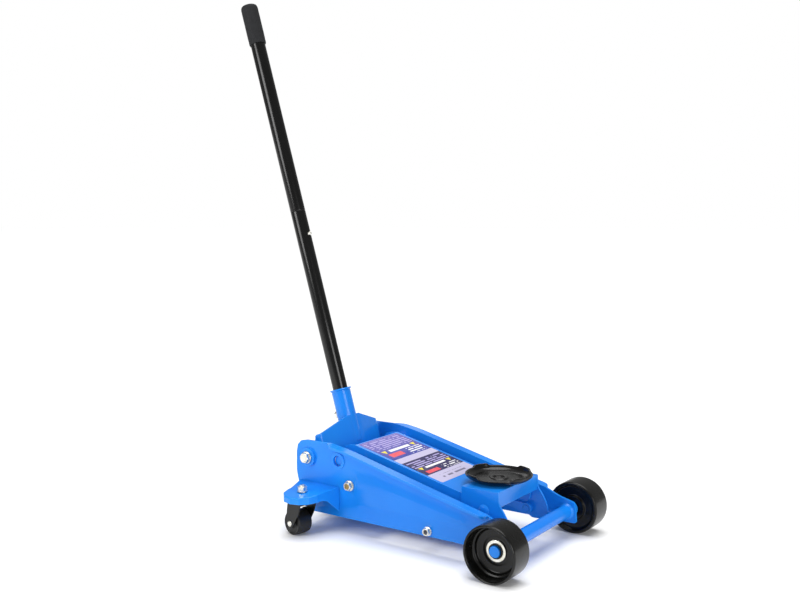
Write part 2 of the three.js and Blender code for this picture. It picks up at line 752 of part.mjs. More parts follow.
function powerUnit() {
  const block = slabXZ(roundedOutline([
    [unitRearX, cradleTopZ + gap, 4], [unitFrontX, cradleTopZ + gap, 2], [unitFrontX, unitTopZ - 4, 2],
    [unitFrontX - 6, unitTopZ, 4], [unitRearX, unitTopZ, 4],
  ]), -unitHalfWidth, unitHalfWidth);
  const anchorX = armPivotX + linkOffsetX;
  const anchorZ = armPivotZ + linkOffsetZ;
  const ear = roundedOutline([
    [anchorX - 12, ramAxisZ, 0], [anchorX + 12, ramAxisZ, 0], [anchorX + 9, anchorZ + 9, 7],
    [anchorX - 9, anchorZ + 9, 7],
  ]);
  const body = join(
    block,
    rodX(cylinderRadius, 0, ramAxisZ, unitFrontX - 5, cylinderFrontX, 32),
    rodX(cylinderRadius - 4, 0, ramAxisZ, cylinderFrontX - 1, cylinderFrontX + 8),
    slabXZ(ear, -24, -16),
    slabXZ(ear, 16, 24),
  );
  return cut(
    body,
    rodX(ramRodRadius + runningGap, 0, ramAxisZ, unitFrontX + 6, cylinderFrontX + 10),
    rodY(linkPinRadius + gap, anchorX, anchorZ, -40, 40),
    rodZ(plungerRadius + runningGap, plungerX, 0, plungerBottomZ - plungerStroke - 3, unitTopZ + 5),
    rodZ(valveRadius + runningGap, valveX, 0, 58, unitTopZ + 5),
  );
}

function ramRod() {
  return rodX(ramRodRadius, 0, ramAxisZ, unitFrontX + 12, crossheadX - crossheadRadius - gap);
}

function crosshead() {
  const reach = ramLinkInnerY + ramLinkThickness + 4;
  const profile = [
    [0, -reach], [crossheadRadius - 3, -reach], [crossheadRadius - 3, -ramLinkInnerY + gap],
    [crossheadRadius, -ramLinkInnerY + gap], [crossheadRadius, ramLinkInnerY - gap],
    [crossheadRadius - 3, ramLinkInnerY - gap], [crossheadRadius - 3, reach], [0, reach],
  ];
  return turnedY(profile, crossheadX, ramAxisZ);
}

// Side link from the crosshead back to the arm's lug pin, which works in an upright slot.
function ramLink(side) {
  const slotHalf = ramLugPinRadius + 1;
  const eye = slotHalf + 6;
  const top = ramLugZ + slotRise;
  const bottom = ramLugZ - slotDrop;
  const plate = roundedOutline([
    [ramLugX - eye, top + 6, 6], [ramLugX - eye, bottom - 6, 6], [ramLugX + eye, bottom - 6, 4],
    [crossheadX, ramAxisZ - 9, 4], [crossheadX + 13, ramAxisZ - 9, 8], [crossheadX + 13, ramAxisZ + 9, 8],
    [crossheadX, ramAxisZ + 9, 4], [ramLugX + eye + 10, ramAxisZ + 11, 10], [ramLugX + eye, top + 6, 4],
  ]);
  const slot = roundedOutline([
    [ramLugX - slotHalf, bottom, 5], [ramLugX + slotHalf, bottom, 5], [ramLugX + slotHalf, top, 5],
    [ramLugX - slotHalf, top, 5],
  ]);
  const y0 = Math.min(side * ramLinkInnerY, side * (ramLinkInnerY + ramLinkThickness));
  return cut(
    slabXZ(plate, y0, y0 + ramLinkThickness),
    slabXZ(slot, y0 - 5, y0 + ramLinkThickness + 5),
    rodY(crossheadRadius - 3 + gap, crossheadX, ramAxisZ, -80, 80),
  );
}

// Bottom plate that ties the frame and carries the hydraulic unit, with an ear bolted to each side plate.
function unitCradle() {
  const reach = plateOuterY - plateThickness - gap;
  const ear = roundedOutline([
    [unitBoltX - 20, cradleTopZ - 1, 0], [unitBoltX + 20, cradleTopZ - 1, 0],
    [unitBoltX + 11, unitBoltZ + 12, 9], [unitBoltX - 11, unitBoltZ + 12, 9],
  ]);
  const body = join(
    box(plateRearX + 24, cylinderFrontX - 10, -reach, reach, cradleTopZ - cradleThickness, cradleTopZ),
    slabXZ(ear, -reach, -reach + cradleThickness),
    slabXZ(ear, reach - cradleThickness, reach),
  );
  return cut(body, rodY(unitBoltRadius + gap, unitBoltX, unitBoltZ, -reach - 5, reach + 5));
}

// Bolt with its head inside and a flanged hexagon nut outside the side plate.
function throughBolt(side, radius, x, z, innerEnd, outerFace, nutAcross) {
  const nutTop = outerFace + gap + boltNutRise;
  const pieces = [
    rodY(radius, x, z, innerEnd - 4, nutTop),
    rodY(radius + 4, x, z, innerEnd - 6, innerEnd - gap),
    rodY(nutAcross / 2 + 2.5, x, z, outerFace + gap, outerFace + gap + nutWasherThickness),
    slabXZ(regularOutline(x, z, nutAcross, 6), outerFace + gap + 1.5, nutTop),
  ];
  const bolt = cut(join(...pieces), rodY(radius + 0.8, x, z, nutTop - recessDepth, nutTop + 5));
  return side > 0 ? bolt : mirrored(bolt);
}

function mirrored(geometry) {
  const flipped = bareGeometry(geometry).applyMatrix4(new THREE.Matrix4().makeScale(1, -1, 1));
  return faceOutward(flipped);
}

function tieRod() {
  const reach = plateOuterY + gap + tieNutTop - recessDepth;
  return rodY(tieRodRadius, tieRodX, tieRodZ, -reach, reach, 16);
}

function tieNut(side) {
  const face = plateOuterY + gap;
  const nut = cut(
    join(
      rodY(tieWasherRadius, tieRodX, tieRodZ, face, face + nutWasherThickness),
      slabXZ(regularOutline(tieRodX, tieRodZ, tieNutAcross, 6), face + 1.5, face + tieNutTop),
    ),
    rodY(tieRodRadius + gap, tieRodX, tieRodZ, face - 5, face + 20, 16),
  );
  return side > 0 ? nut : mirrored(nut);
}

// Yoke: two sloping wings swept back from the front of the handle socket, bent round into two legs that
// hang on the pivot bolts.
function handleYoke() {
  const legOuter = yokeHalfWidth;
  const legInner = yokeHalfWidth - yokeWall;
  const wingPlan = roundedOutline([
    [-yokeLobeRadius, -legOuter, 0], [wingRootU, -legOuter, 7], [wingNoseU, -wingNoseY, 8],
    [wingNoseU, wingNoseY, 8], [wingRootU, legOuter, 7], [-yokeLobeRadius, legOuter, 0],
    [-yokeLobeRadius, legInner, 0], [wingRootU - 4, legInner, 4], [wingNoseU - yokeWall, wingNoseY - 1, 8],
    [wingNoseU - yokeWall, -wingNoseY + 1, 8], [wingRootU - 4, -legInner, 4], [-yokeLobeRadius, -legInner, 0],
  ]);
  const frontView = roundedOutline([
    [-legOuter - 1, -yokeLobeRadius - 1, 0], [legOuter + 1, -yokeLobeRadius - 1, 0],
    [legOuter + 1, shoulderW, 0], [legOuter - 6, shoulderW + 3, 6], [wingNoseY, wingTopW, 0],
    [-wingNoseY, wingTopW, 0], [-legOuter + 6, shoulderW + 3, 6], [-legOuter - 1, shoulderW, 0],
  ]);
  const sideView = roundedOutline([
    [wingNoseU + 2, -4, 0], [wingNoseU + 2, wingTopW + 2, 0], [legTopRearU, wingTopW + 2, 0],
    [legTopRearU, 26, 10], [-yokeLobeRadius, 10, 14], [-yokeLobeRadius, -yokeLobeRadius, 20],
    [yokeLobeRadius, -yokeLobeRadius, 20], [yokeLobeRadius + 1, -4, 4],
  ]);
  const band = slabXY(wingPlan, -yokeLobeRadius - 1, wingTopW + 1, 4);
  const bent = common(common(band, slabYZ(frontView, -60, 60)), slabXZ(sideView, -legOuter - 1, legOuter + 1));
  const rollerLug = roundedOutline([
    [handleAxisU - socketRadius + 7, -2, 0], [handleAxisU - socketRadius + 7, 20, 0], [-14, 20, 9],
    [-27, 8, 8], [-17, -4, 8],
  ]);
  const body = join(
    bent,
    rodZ(socketRadius, handleAxisU, 0, socketBottomW, socketTopW - 2, tubeSides),
    turnedZ([[0, socketTopW - 4], [socketRadius, socketTopW - 4], [socketRimRadius, socketTopW - 2.2],
      [socketRimRadius, socketTopW], [0, socketTopW]], handleAxisU, 0, tubeSides),
    slabXZ(rollerLug, -14, -10),
    slabXZ(rollerLug, 10, 14),
  );
  const roller = rollerLocal();
  return cut(
    body,
    rodZ(tubeRadius + 0.5, handleAxisU, 0, socketBottomW - 15, socketTopW + 5, tubeSides),
    rodY(yokeBoltRadius + runningGap, 0, 0, -legOuter - 5, legOuter + 5),
    rodX(screwRadius + gap, 0, screwW, handleAxisU - 30, handleAxisU),
    rodY(rollerPinRadius + gap, roller.x, roller.y, -30, 30, 16),
  );
}

// The pump roller's place in the yoke's own directions.
function rollerLocal() {
  const away = new THREE.Vector2(rollerX - yokePivotX, rollerZ - yokePivotZ);
  const sin = Math.sin(handleLean);
  const cos = Math.cos(handleLean);
  return new THREE.Vector2(away.x * cos + away.y * sin, -away.x * sin + away.y * cos);
}

function yokeBolt(side) {
  const face = plateOuterY + pivotBossHeight + gap;
  const pieces = [
    rodY(yokeBoltRadius, 0, 0, yokeHalfWidth - yokeWall - 4, face + 2),
    rodY(yokeBoltAcross / 2 + 2, 0, 0, face, face + 2),
    slabXZ(regularOutline(0, 0, yokeBoltAcross, 6), face + 1.5, face + 9.5),
  ];
  const bolt = join(...pieces);
  return side > 0 ? bolt : mirrored(bolt);
}

function pumpRoller() {
  const local = rollerLocal();
  const bore = rollerPinRadius + runningGap;
  const half = 10 - gap;
  return turnedY([[bore, -half], [rollerRadius, -half], [rollerRadius, half], [bore, half], [bore, -half]],
    local.x, local.y);
}

function pumpRollerPin() {
  const local = rollerLocal();
  return rodY(rollerPinRadius, local.x, local.y, -15.5, 15.5, 16);
}

function pumpPlunger() {
  const top = rollerZ - rollerRadius - gap;
  return turnedZ([
    [0, plungerBottomZ], [plungerRadius, plungerBottomZ], [plungerRadius, top - 7], [plungerRadius + 3, top - 7],
    [plungerRadius + 3, top - 3], [plungerRadius, top - 2], [plungerRadius - 1, top], [0, top],
  ], plungerX, 0);
}

function pumpSpring() {
  const wire = 1.2;
  const top = rollerZ - rollerRadius - gap - 7 - gap - wire;
  return coilSpring(new THREE.Vector3(plungerX, 0, unitTopZ + gap + wire), new THREE.Vector3(plungerX, 0, top),
    plungerRadius + 0.6 + wire, wire, 6);
}

function returnSpring(side) {
  const rear = new THREE.Vector3(unitFrontX + gap + springWire, side * springY, ramAxisZ);
  const front = new THREE.Vector3(crossheadX - crossheadRadius - gap - springWire, side * springY, ramAxisZ);
  return coilSpring(rear, front, springRadius - springWire, springWire, 9);
}

function releaseValve() {
  return turnedZ([
    [0, 62], [valveRadius, 62], [valveRadius, 92], [valveRadius + 3, 94], [valveRadius + 3, 102],
    [valveRadius, 104], [valveRadius, valveTopZ - 8], [valveRadius + 2, valveTopZ - 7],
    [valveRadius + 2, valveTopZ], [0, valveTopZ],
  ], valveX, 0);
}

// Forked end piece under the handle that turns the release valve's stem.
function releaseCoupler() {
  const top = handleBottomW - gap;
  const stem = turnedZ([
    [0, 4], [6, 4], [6, 16], [tubeRadius - 3, 18], [tubeRadius - 3, top], [0, top],
  ], handleAxisU, 0);
  return cut(stem, box(handleAxisU - 2, handleAxisU + 2, -10, 10, 0, 11));
}

function handleTube(bottom, top, radius, wall) {
  const inner = radius - wall;
  return turnedZ([[inner, bottom], [radius - 0.4, bottom], [radius, bottom + 0.6], [radius, top - 0.6],
    [radius - 0.4, top], [inner, top], [inner, bottom]], handleAxisU, 0, tubeSides);
}

function handleLower() {
  const hole = rodX(buttonRadius + runningGap, 0, buttonW, handleAxisU, handleAxisU + 30, 16);
  return cut(handleTube(handleBottomW, handleJointW, tubeRadius, tubeWall), hole);
}

// Upper tube with a reduced spigot that sits in the lower tube.
function handleUpper() {
  const spigot = tubeRadius - tubeWall - gap;
  const inner = spigot - tubeWall;
  const foot = handleJointW - spigotLength;
  const start = handleJointW + gap;
  const body = turnedZ([
    [inner, foot], [spigot, foot], [spigot, start], [tubeRadius - 0.6, start], [tubeRadius, start + 1],
    [tubeRadius, handleTopW], [inner, handleTopW], [inner, foot],
  ], handleAxisU, 0, tubeSides);
  return cut(body, rodX(buttonRadius + runningGap, 0, buttonW, handleAxisU, handleAxisU + 30, 16));
}

function handleGrip() {
  const inside = tubeRadius + gap;
  return turnedZ([
    [inside, gripBottomW], [gripRadius - 0.6, gripBottomW], [gripRadius, gripBottomW + 3],
    [gripRadius, gripTopW - 5], [gripRadius - 1.5, gripTopW - 1.5], [gripRadius - 5, gripTopW],
    [0, gripTopW], [0, handleTopW + gap], [inside, handleTopW + gap], [inside, gripBottomW],
  ], handleAxisU, 0, tubeSides);
}

function snapButton() {
  const root = handleAxisU + 4;
  const tip = handleAxisU + tubeRadius + buttonStandOff;
  const profile = [[0, root], [buttonRadius, root], [buttonRadius, tip - 1.5], [buttonRadius - 1.2, tip - 0.3],
    [0, tip]];
  return turned(profile, 16).rotateZ(-Math.PI / 2).translate(0, 0, buttonW);
}

// Socket screw: dog point against the handle, hexagon head behind the socket.
function socketScrew() {
  const tip = handleAxisU - tubeRadius - gap - 0.2;
  const headStart = handleAxisU - socketRadius - 0.8;
  const head = new THREE.CylinderGeometry(7.2, 7.2, 6, 6).rotateZ(Math.PI / 2);
  return join(
    rodX(screwRadius, 0, screwW, headStart - 3, tip),
    head.translate(headStart - 3, 0, screwW),
  );
}

// ---- assembly ----

const jack = new THREE.Group();

function place(name, geometry, finish, parent = jack) {
  const mesh = new THREE.Mesh(geometry, new THREE.MeshStandardMaterial(finish));
  mesh.name = name;
  parent.add(mesh);
  return mesh;
}

const sides = [["right", -1], ["left", 1]];

for (const [word, side] of sides) {
  const plate = sidePlate();
  place(`side_plate_${word}`, side < 0 ? plate : mirrored(plate), paint);
  place(`front_wheel_${word}`, frontWheel(side), blackPlastic);
  place(`wheel_washer_${word}`, wheelWasher(side), zinc);
  place(`axle_clip_${word}`, axleClip(side), blackGloss);
  const bracket = casterBracket();
  place(`caster_bracket_${word}`, side < 0 ? bracket : mirrored(bracket), paint);
  const caster = new THREE.Group();
  caster.position.set(casterX, side * casterY, 0);
  caster.rotation.z = casterTurn;
  jack.add(caster);
  place(`caster_fork_${word}`, casterFork(), blackGloss, caster);
  place(`caster_wheel_${word}`, casterWheel(), blackPlastic, caster);
  place(`caster_axle_${word}`, casterAxle(), zinc, caster);
  place(`caster_bolt_${word}`, casterBolt(), zinc, caster);
  place(`level_link_${word}`, levelLink(side), paint);
  place(`link_front_pin_${word}`, linkFrontPin(side), paint);
  place(`ram_link_${word}`, ramLink(side), steel);
  place(`ram_lug_pin_${word}`, ramLugPin(side), steel);
  place(`return_spring_${word}`, returnSpring(side), steel);
  place(`unit_bolt_${word}`, throughBolt(side, unitBoltRadius, unitBoltX, unitBoltZ,
    plateOuterY - plateThickness - gap - cradleThickness, plateOuterY, 15), zinc);
  place(`tie_nut_${word}`, tieNut(side), zinc);
}

place("front_axle", frontAxle(), paint);
place("tie_rod", tieRod(), zinc);
place("unit_cradle", unitCradle(), paint);
place("power_unit", powerUnit(), castIron);
place("ram_rod", ramRod(), steel);
place("crosshead", crosshead(), steel);
place("lift_arm", liftArm(), paint);
place("arm_pivot_shaft", armPivotShaft(), paint);
place("saddle_head", saddleHead(), paint);
place("head_pivot_pin", domedPin(headPinRadius, headPinX, headPinZ, headOuterY + gap), paint);
place("link_anchor_shaft", linkAnchorShaft(), steel);
place("saddle", saddle(), blackGloss);
place("pump_plunger", pumpPlunger(), steel);
place("pump_spring", pumpSpring(), steel);
place("release_valve", releaseValve(), zinc);

const handle = new THREE.Group();
handle.position.set(yokePivotX, 0, yokePivotZ);
handle.rotation.y = -handleLean;
jack.add(handle);
place("handle_yoke", handleYoke(), paint, handle);
for (const [word, side] of sides) place(`yoke_bolt_${word}`, yokeBolt(side), zinc, handle);
place("pump_roller", pumpRoller(), steel, handle);
place("pump_roller_pin", pumpRollerPin(), steel, handle);
place("socket_screw", socketScrew(), zinc, handle);
place("release_coupler", releaseCoupler(), steel, handle);
place("handle_lower", handleLower(), blackGloss, handle);
place("handle_upper", handleUpper(), blackGloss, handle);
place("handle_grip", handleGrip(), gripRubber, handle);
place("snap_button", snapButton(), zinc, handle);

// The origin goes to the bottom centre of the whole box.
jack.updateMatrixWorld(true);
const extent = new THREE.Box3().setFromObject(jack, true);
const centre = extent.getCenter(new THREE.Vector3());
jack.position.set(-centre.x, -centre.y, -extent.min.z);

export default jack;
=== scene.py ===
import json
import math

import bmesh
import bpy
import numpy as np
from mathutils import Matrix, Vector

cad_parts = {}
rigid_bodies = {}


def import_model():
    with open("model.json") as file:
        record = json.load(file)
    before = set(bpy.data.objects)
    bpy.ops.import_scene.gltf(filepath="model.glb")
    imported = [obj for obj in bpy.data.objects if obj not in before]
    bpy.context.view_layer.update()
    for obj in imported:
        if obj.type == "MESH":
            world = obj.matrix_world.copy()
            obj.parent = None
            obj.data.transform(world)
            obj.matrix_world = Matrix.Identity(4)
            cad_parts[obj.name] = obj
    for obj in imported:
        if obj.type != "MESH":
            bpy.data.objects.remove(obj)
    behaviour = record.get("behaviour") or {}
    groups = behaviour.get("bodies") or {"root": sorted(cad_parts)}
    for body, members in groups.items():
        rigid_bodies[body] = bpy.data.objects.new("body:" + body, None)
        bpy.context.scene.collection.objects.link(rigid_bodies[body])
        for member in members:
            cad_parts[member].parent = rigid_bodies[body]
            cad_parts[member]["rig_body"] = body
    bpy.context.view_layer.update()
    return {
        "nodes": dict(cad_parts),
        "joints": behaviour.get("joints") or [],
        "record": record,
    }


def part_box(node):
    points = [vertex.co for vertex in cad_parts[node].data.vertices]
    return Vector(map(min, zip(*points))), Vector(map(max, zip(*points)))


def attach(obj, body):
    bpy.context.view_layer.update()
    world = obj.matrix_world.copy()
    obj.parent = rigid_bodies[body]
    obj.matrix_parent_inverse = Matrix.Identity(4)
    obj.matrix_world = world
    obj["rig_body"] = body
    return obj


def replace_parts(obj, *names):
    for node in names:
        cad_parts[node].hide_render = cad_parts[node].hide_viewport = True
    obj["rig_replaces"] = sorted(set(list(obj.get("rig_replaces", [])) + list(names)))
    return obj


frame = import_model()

joints = {joint["name"]: joint for joint in frame["joints"]}
slotOf = {row["node"]: row["material_slot"] for row in frame["record"]["subparts"]}
sides = {"right": -1, "left": 1}
print("frame loaded:", len(frame["nodes"]), "nodes")


view = {
    "stand": (1.0582, -1.4700, 0.5748),
    "turn": 35.1,
    "tilt": 4.7,
    "lens": 43.23,
}


def makeCamera():
    data = bpy.data.cameras.new("camera")
    data.lens = view["lens"]
    data.sensor_width = 36
    camera = bpy.data.objects.new("camera", data)
    camera.location = view["stand"]
    camera.rotation_euler = (math.radians(90 - view["tilt"]), 0, math.radians(view["turn"]))
    bpy.context.scene.collection.objects.link(camera)
    bpy.context.scene.camera = camera


lamps = [  # name, kind, place, aim, size in metres or degrees, strength
    ("key", "AREA", (-0.9, -2.6, 1.5), (0.0, 0.0, 0.1), 1.3, 40),
    ("fill", "AREA", (2.7, -1.1, 0.8), (0.1, 0.0, 0.1), 1.2, 30),
    ("rim", "AREA", (-1.4, 2.0, 1.5), (0.0, 0.0, 0.2), 0.9, 2.5),
    ("ceiling", "SUN", (0.1, 0.3, 2.6), (0.0, 0.0, 0.0), 50, 2.55),
]


def makeLamps():
    for name, kind, place, aim, size, strength in lamps:
        data = bpy.data.lights.new(name, kind)
        if kind == "SUN":
            data.angle = math.radians(size)
        else:
            data.size = size
        data.energy = strength
        lamp = bpy.data.objects.new(name, data)
        lamp.location = place
        lamp.rotation_euler = (Vector(aim) - Vector(place)).to_track_quat("-Z", "Y").to_euler()
        bpy.context.scene.collection.objects.link(lamp)


def makeStage():
    world = bpy.data.worlds.new("studio")
    world.use_nodes = True
    tree = world.node_tree
    backdrop = tree.nodes["Background"]
    backdrop.inputs["Color"].default_value = (1.0, 1.0, 1.0, 1)
    seen = tree.nodes.new("ShaderNodeLightPath").outputs["Is Camera Ray"]
    level = tree.nodes.new("ShaderNodeMapRange")  # the backdrop is bright to look at and dimmer as a light
    level.inputs["To Min"].default_value = 0.3
    level.inputs["To Max"].default_value = 1.0
    tree.links.new(seen, level.inputs["Value"])
    tree.links.new(level.outputs["Result"], backdrop.inputs["Strength"])
    bpy.context.scene.world = world
    bpy.context.scene.view_settings.view_transform = "Standard"
    reach = 60
    mesh = bpy.data.meshes.new("floor")
    mesh.from_pydata([(-reach, -reach, 0), (reach, -reach, 0), (reach, reach, 0), (-reach, reach, 0)],
                     [], [(0, 1, 2, 3)])
    floor = bpy.data.objects.new("floor", mesh)
    bpy.context.scene.collection.objects.link(floor)
    material = bpy.data.materials.new("floor")
    material.use_nodes = True
    shader = material.node_tree.nodes["Principled BSDF"]
    shader.inputs["Base Color"].default_value = (0.97, 0.97, 0.97, 1)
    shader.inputs["Roughness"].default_value = 0.75
    mesh.materials.append(material)


makeCamera()
makeLamps()
makeStage()
print("camera, lamps and floor placed")


def addNode(tree, kind, inputs=None, **settings):
    node = tree.nodes.new(kind)
    for key, value in settings.items():
        setattr(node, key, value)
    for key, value in (inputs or {}).items():
        socket = node.inputs[key]
        if isinstance(value, bpy.types.NodeSocket):
            tree.links.new(value, socket)
        else:
            socket.default_value = value
    return node


def mathNode(tree, operation, first, second=None, third=None):
    values = [v for v in (first, second, third) if v is not None]
    return addNode(tree, "ShaderNodeMath", dict(enumerate(values)), operation=operation).outputs[0]


def mixColor(tree, factor, first, second):
    node = tree.nodes.new("ShaderNodeMix")
    node.data_type = "RGBA"
    for index, value in ((0, factor), (6, first), (7, second)):
        if isinstance(value, bpy.types.NodeSocket):
            tree.links.new(value, node.inputs[index])
        else:
            node.inputs[index].default_value = value
    return node.outputs[2]


def objectPlace(tree):
    return addNode(tree, "ShaderNodeTexCoord").outputs["Object"]


def noiseValue(tree, place, scale, detail, rough=0.5):
    inputs = {"Vector": place, "Scale": scale, "Detail": detail, "Roughness": rough}
    return addNode(tree, "ShaderNodeTexNoise", inputs).outputs["Fac"]


def rangeNode(tree, value, low, high, toLow=0.0, toHigh=1.0):
    inputs = {"Value": value, "From Min": low, "From Max": high, "To Min": toLow, "To Max": toHigh}
    return addNode(tree, "ShaderNodeMapRange", inputs, clamp=True).outputs["Result"]


def newGroup(name, inputs, outputs):
    group = bpy.data.node_groups.new(name, "ShaderNodeTree")
    for label, value in inputs.items():
        socket = group.interface.new_socket(name=label, in_out="INPUT", socket_type="NodeSocketFloat")
        socket.default_value = value
    for label in outputs:
        group.interface.new_socket(name=label, in_out="OUTPUT", socket_type="NodeSocketFloat")
    return group, group.nodes.new("NodeGroupInput"), group.nodes.new("NodeGroupOutput")


def makeOrangePeel():
    # sprayed enamel: a slow ripple under a finer dimple, and patches that are a little less glossy
    group, given, out = newGroup("orangePeel", {"Size": 260.0, "Dull": 0.06}, ["Height", "Roughness"])
    place = objectPlace(group)
    fine = noiseValue(group, place, given.outputs["Size"], 2.0)
    slow = noiseValue(group, place, 26.0, 2.0)
    patch = noiseValue(group, place, 9.0, 5.0)
    height = mathNode(group, "MULTIPLY_ADD", slow, 1.6, fine)
    group.links.new(height, out.inputs["Height"])
    dulled = mathNode(group, "MULTIPLY", patch, given.outputs["Dull"])
    group.links.new(dulled, out.inputs["Roughness"])
    return group


def makeEdgeWearAndHighlight():
    # how far a wide-rounded normal leans from the true one: as it stands it is the Edge mask, used for a painted
    # highlight along every edge; broken up by noise it is the wear Mask, so bare spots sit on edges
    group, given, out = newGroup("edgeWear", {"Low": 0.02, "High": 0.12, "Break": 0.45}, ["Mask", "Edge"])
    place = objectPlace(group)
    rounded = addNode(group, "ShaderNodeBevel", {"Radius": 0.0018}, samples=4)
    true = addNode(group, "ShaderNodeNewGeometry").outputs["Normal"]
    pair = {0: rounded.outputs["Normal"], 1: true}
    dot = addNode(group, "ShaderNodeVectorMath", pair, operation="DOT_PRODUCT")
    lean = mathNode(group, "SUBTRACT", 1.0, dot.outputs["Value"])
    edge = rangeNode(group, lean, given.outputs["Low"], given.outputs["High"])
    speck = noiseValue(group, place, 70.0, 6.0, 0.65)
    broken = rangeNode(group, speck, mathNode(group, "ADD", given.outputs["Break"], 0.08),
                       mathNode(group, "ADD", given.outputs["Break"], 0.16))
    group.links.new(mathNode(group, "MULTIPLY", edge, broken), out.inputs["Mask"])
    # Edge is the unbroken edge mask that paints a highlight along edges
    group.links.new(edge, out.inputs["Edge"])
    return group


def makeDust():
    # fine dust that settles on what faces up, thicker in cloudy patches
    group, given, out = newGroup("dust", {"Amount": 0.1}, ["Mask"])
    place = objectPlace(group)
    normal = addNode(group, "ShaderNodeNewGeometry").outputs["Normal"]
    up = addNode(group, "ShaderNodeSeparateXYZ", {"Vector": normal}).outputs["Z"]
    cloud = noiseValue(group, place, 14.0, 7.0, 0.7)
    lying = mathNode(group, "MULTIPLY", rangeNode(group, up, 0.2, 1.0, 0.25, 1.0),
                     rangeNode(group, cloud, 0.42, 0.75))
    group.links.new(mathNode(group, "MULTIPLY", lying, given.outputs["Amount"]), out.inputs["Mask"])
    return group


def makeFineScratch():
    # two sets of long thin noise streaks, at an angle to each other
    group, given, out = newGroup("fineScratch", {"Density": 0.5}, ["Mask"])
    place = objectPlace(group)
    masks = []
    for stretch in ((900.0, 60.0, 900.0), (70.0, 800.0, 160.0)):
        pair = {0: place, 1: stretch}
        scaled = addNode(group, "ShaderNodeVectorMath", pair, operation="MULTIPLY").outputs[0]
        streak = noiseValue(group, scaled, 1.0, 2.0)
        masks.append(rangeNode(group, streak, given.outputs["Density"],
                               mathNode(group, "ADD", given.outputs["Density"], 0.12)))
    group.links.new(mathNode(group, "MAXIMUM", masks[0], masks[1]), out.inputs["Mask"])
    return group


orangePeel = makeOrangePeel()
edgeWear = makeEdgeWearAndHighlight()
dust = makeDust()
fineScratch = makeFineScratch()


def useGroup(tree, group, **values):
    return addNode(tree, "ShaderNodeGroup", values, node_tree=group)


def startMaterial(name):
    material = bpy.data.materials.new(name)
    material.use_nodes = True
    tree = material.node_tree
    return material, tree, tree.nodes["Principled BSDF"]


def addBump(tree, shader, height, strength, distance):
    bump = addNode(tree, "ShaderNodeBump", {"Height": height, "Strength": strength, "Distance": distance})
    tree.links.new(bump.outputs["Normal"], shader.inputs["Normal"])


def makeEnamel(name, color, edgeHighlightColor, deepColor, rough=0.22, coat=0.6, peel=260.0, bump=0.06,
               dusty=0.06, wear=0.5, bareShare=0.4, shine=0.35):
    # enamel over steel: a body colour that drifts a little, edges painted paler as a painted highlight, bare
    # specks, dust and orange peel
    dustColor, bare = (0.55, 0.56, 0.58, 1), (0.35, 0.35, 0.35, 1)
    material, tree, shader = startMaterial(name)
    peelNode = useGroup(tree, orangePeel, Size=peel, Dull=0.09)
    wearAndHighlight = useGroup(tree, edgeWear, Low=0.015, High=0.16, Break=wear)
    dusted = useGroup(tree, dust, Amount=dusty)
    place = objectPlace(tree)
    drift = noiseValue(tree, place, 5.0, 3.0)
    body = mixColor(tree, rangeNode(tree, drift, 0.35, 0.7), color, deepColor)
    # painted highlight: every edge is mixed part way towards the paler edge colour
    edgeHighlighted = mixColor(tree, mathNode(tree, "MULTIPLY", wearAndHighlight.outputs["Edge"], 0.45), body, edgeHighlightColor)
    specked = mixColor(tree, mathNode(tree, "MULTIPLY", wearAndHighlight.outputs["Mask"], bareShare), edgeHighlighted, bare)
    final = mixColor(tree, dusted.outputs["Mask"], specked, dustColor)
    tree.links.new(final, shader.inputs["Base Color"])
    gloss = mathNode(tree, "ADD", peelNode.outputs["Roughness"], rough - 0.04)
    gloss = mathNode(tree, "MULTIPLY_ADD", dusted.outputs["Mask"], 0.8, gloss)
    tree.links.new(gloss, shader.inputs["Roughness"])
    shader.inputs["Specular IOR Level"].default_value = shine
    shader.inputs["Coat Weight"].default_value = coat
    shader.inputs["Coat Roughness"].default_value = 0.08
    addBump(tree, shader, peelNode.outputs["Height"], bump, 0.0006)
    return material


def makeBareMetal(name, color, tint, rough, scratchShare=0.35, bump=0.05):
    # plated or ground steel: two close tints in patches, scratches that change the gloss, dark grease specks,
    # and a painted highlight that pales every edge
    material, tree, shader = startMaterial(name)
    place = objectPlace(tree)
    patch = noiseValue(tree, place, 130.0, 4.0)
    grease = noiseValue(tree, place, 320.0, 3.0)
    scratch = useGroup(tree, fineScratch, Density=0.56)
    edge = useGroup(tree, edgeWear, Low=0.01, High=0.2, Break=0.3)
    base = mixColor(tree, rangeNode(tree, patch, 0.35, 0.65), color, tint)
    greasy = rangeNode(tree, grease, 0.58, 0.8, 0.0, 0.5)
    dark = mixColor(tree, greasy, base, (0.12, 0.11, 0.1, 1))
    # painted highlight: every edge is mixed towards near white
    bright = mixColor(tree, mathNode(tree, "MULTIPLY", edge.outputs["Edge"], 0.4), dark, (0.9, 0.9, 0.88, 1))
    tree.links.new(bright, shader.inputs["Base Color"])
    shader.inputs["Metallic"].default_value = 1.0
    gloss = mathNode(tree, "MULTIPLY_ADD", scratch.outputs["Mask"], scratchShare, rough)
    gloss = mathNode(tree, "MULTIPLY_ADD", patch, 0.12, gloss)
    tree.links.new(gloss, shader.inputs["Roughness"])
    addBump(tree, shader, mathNode(tree, "ADD", scratch.outputs["Mask"], patch), bump, 0.0004)
    return material


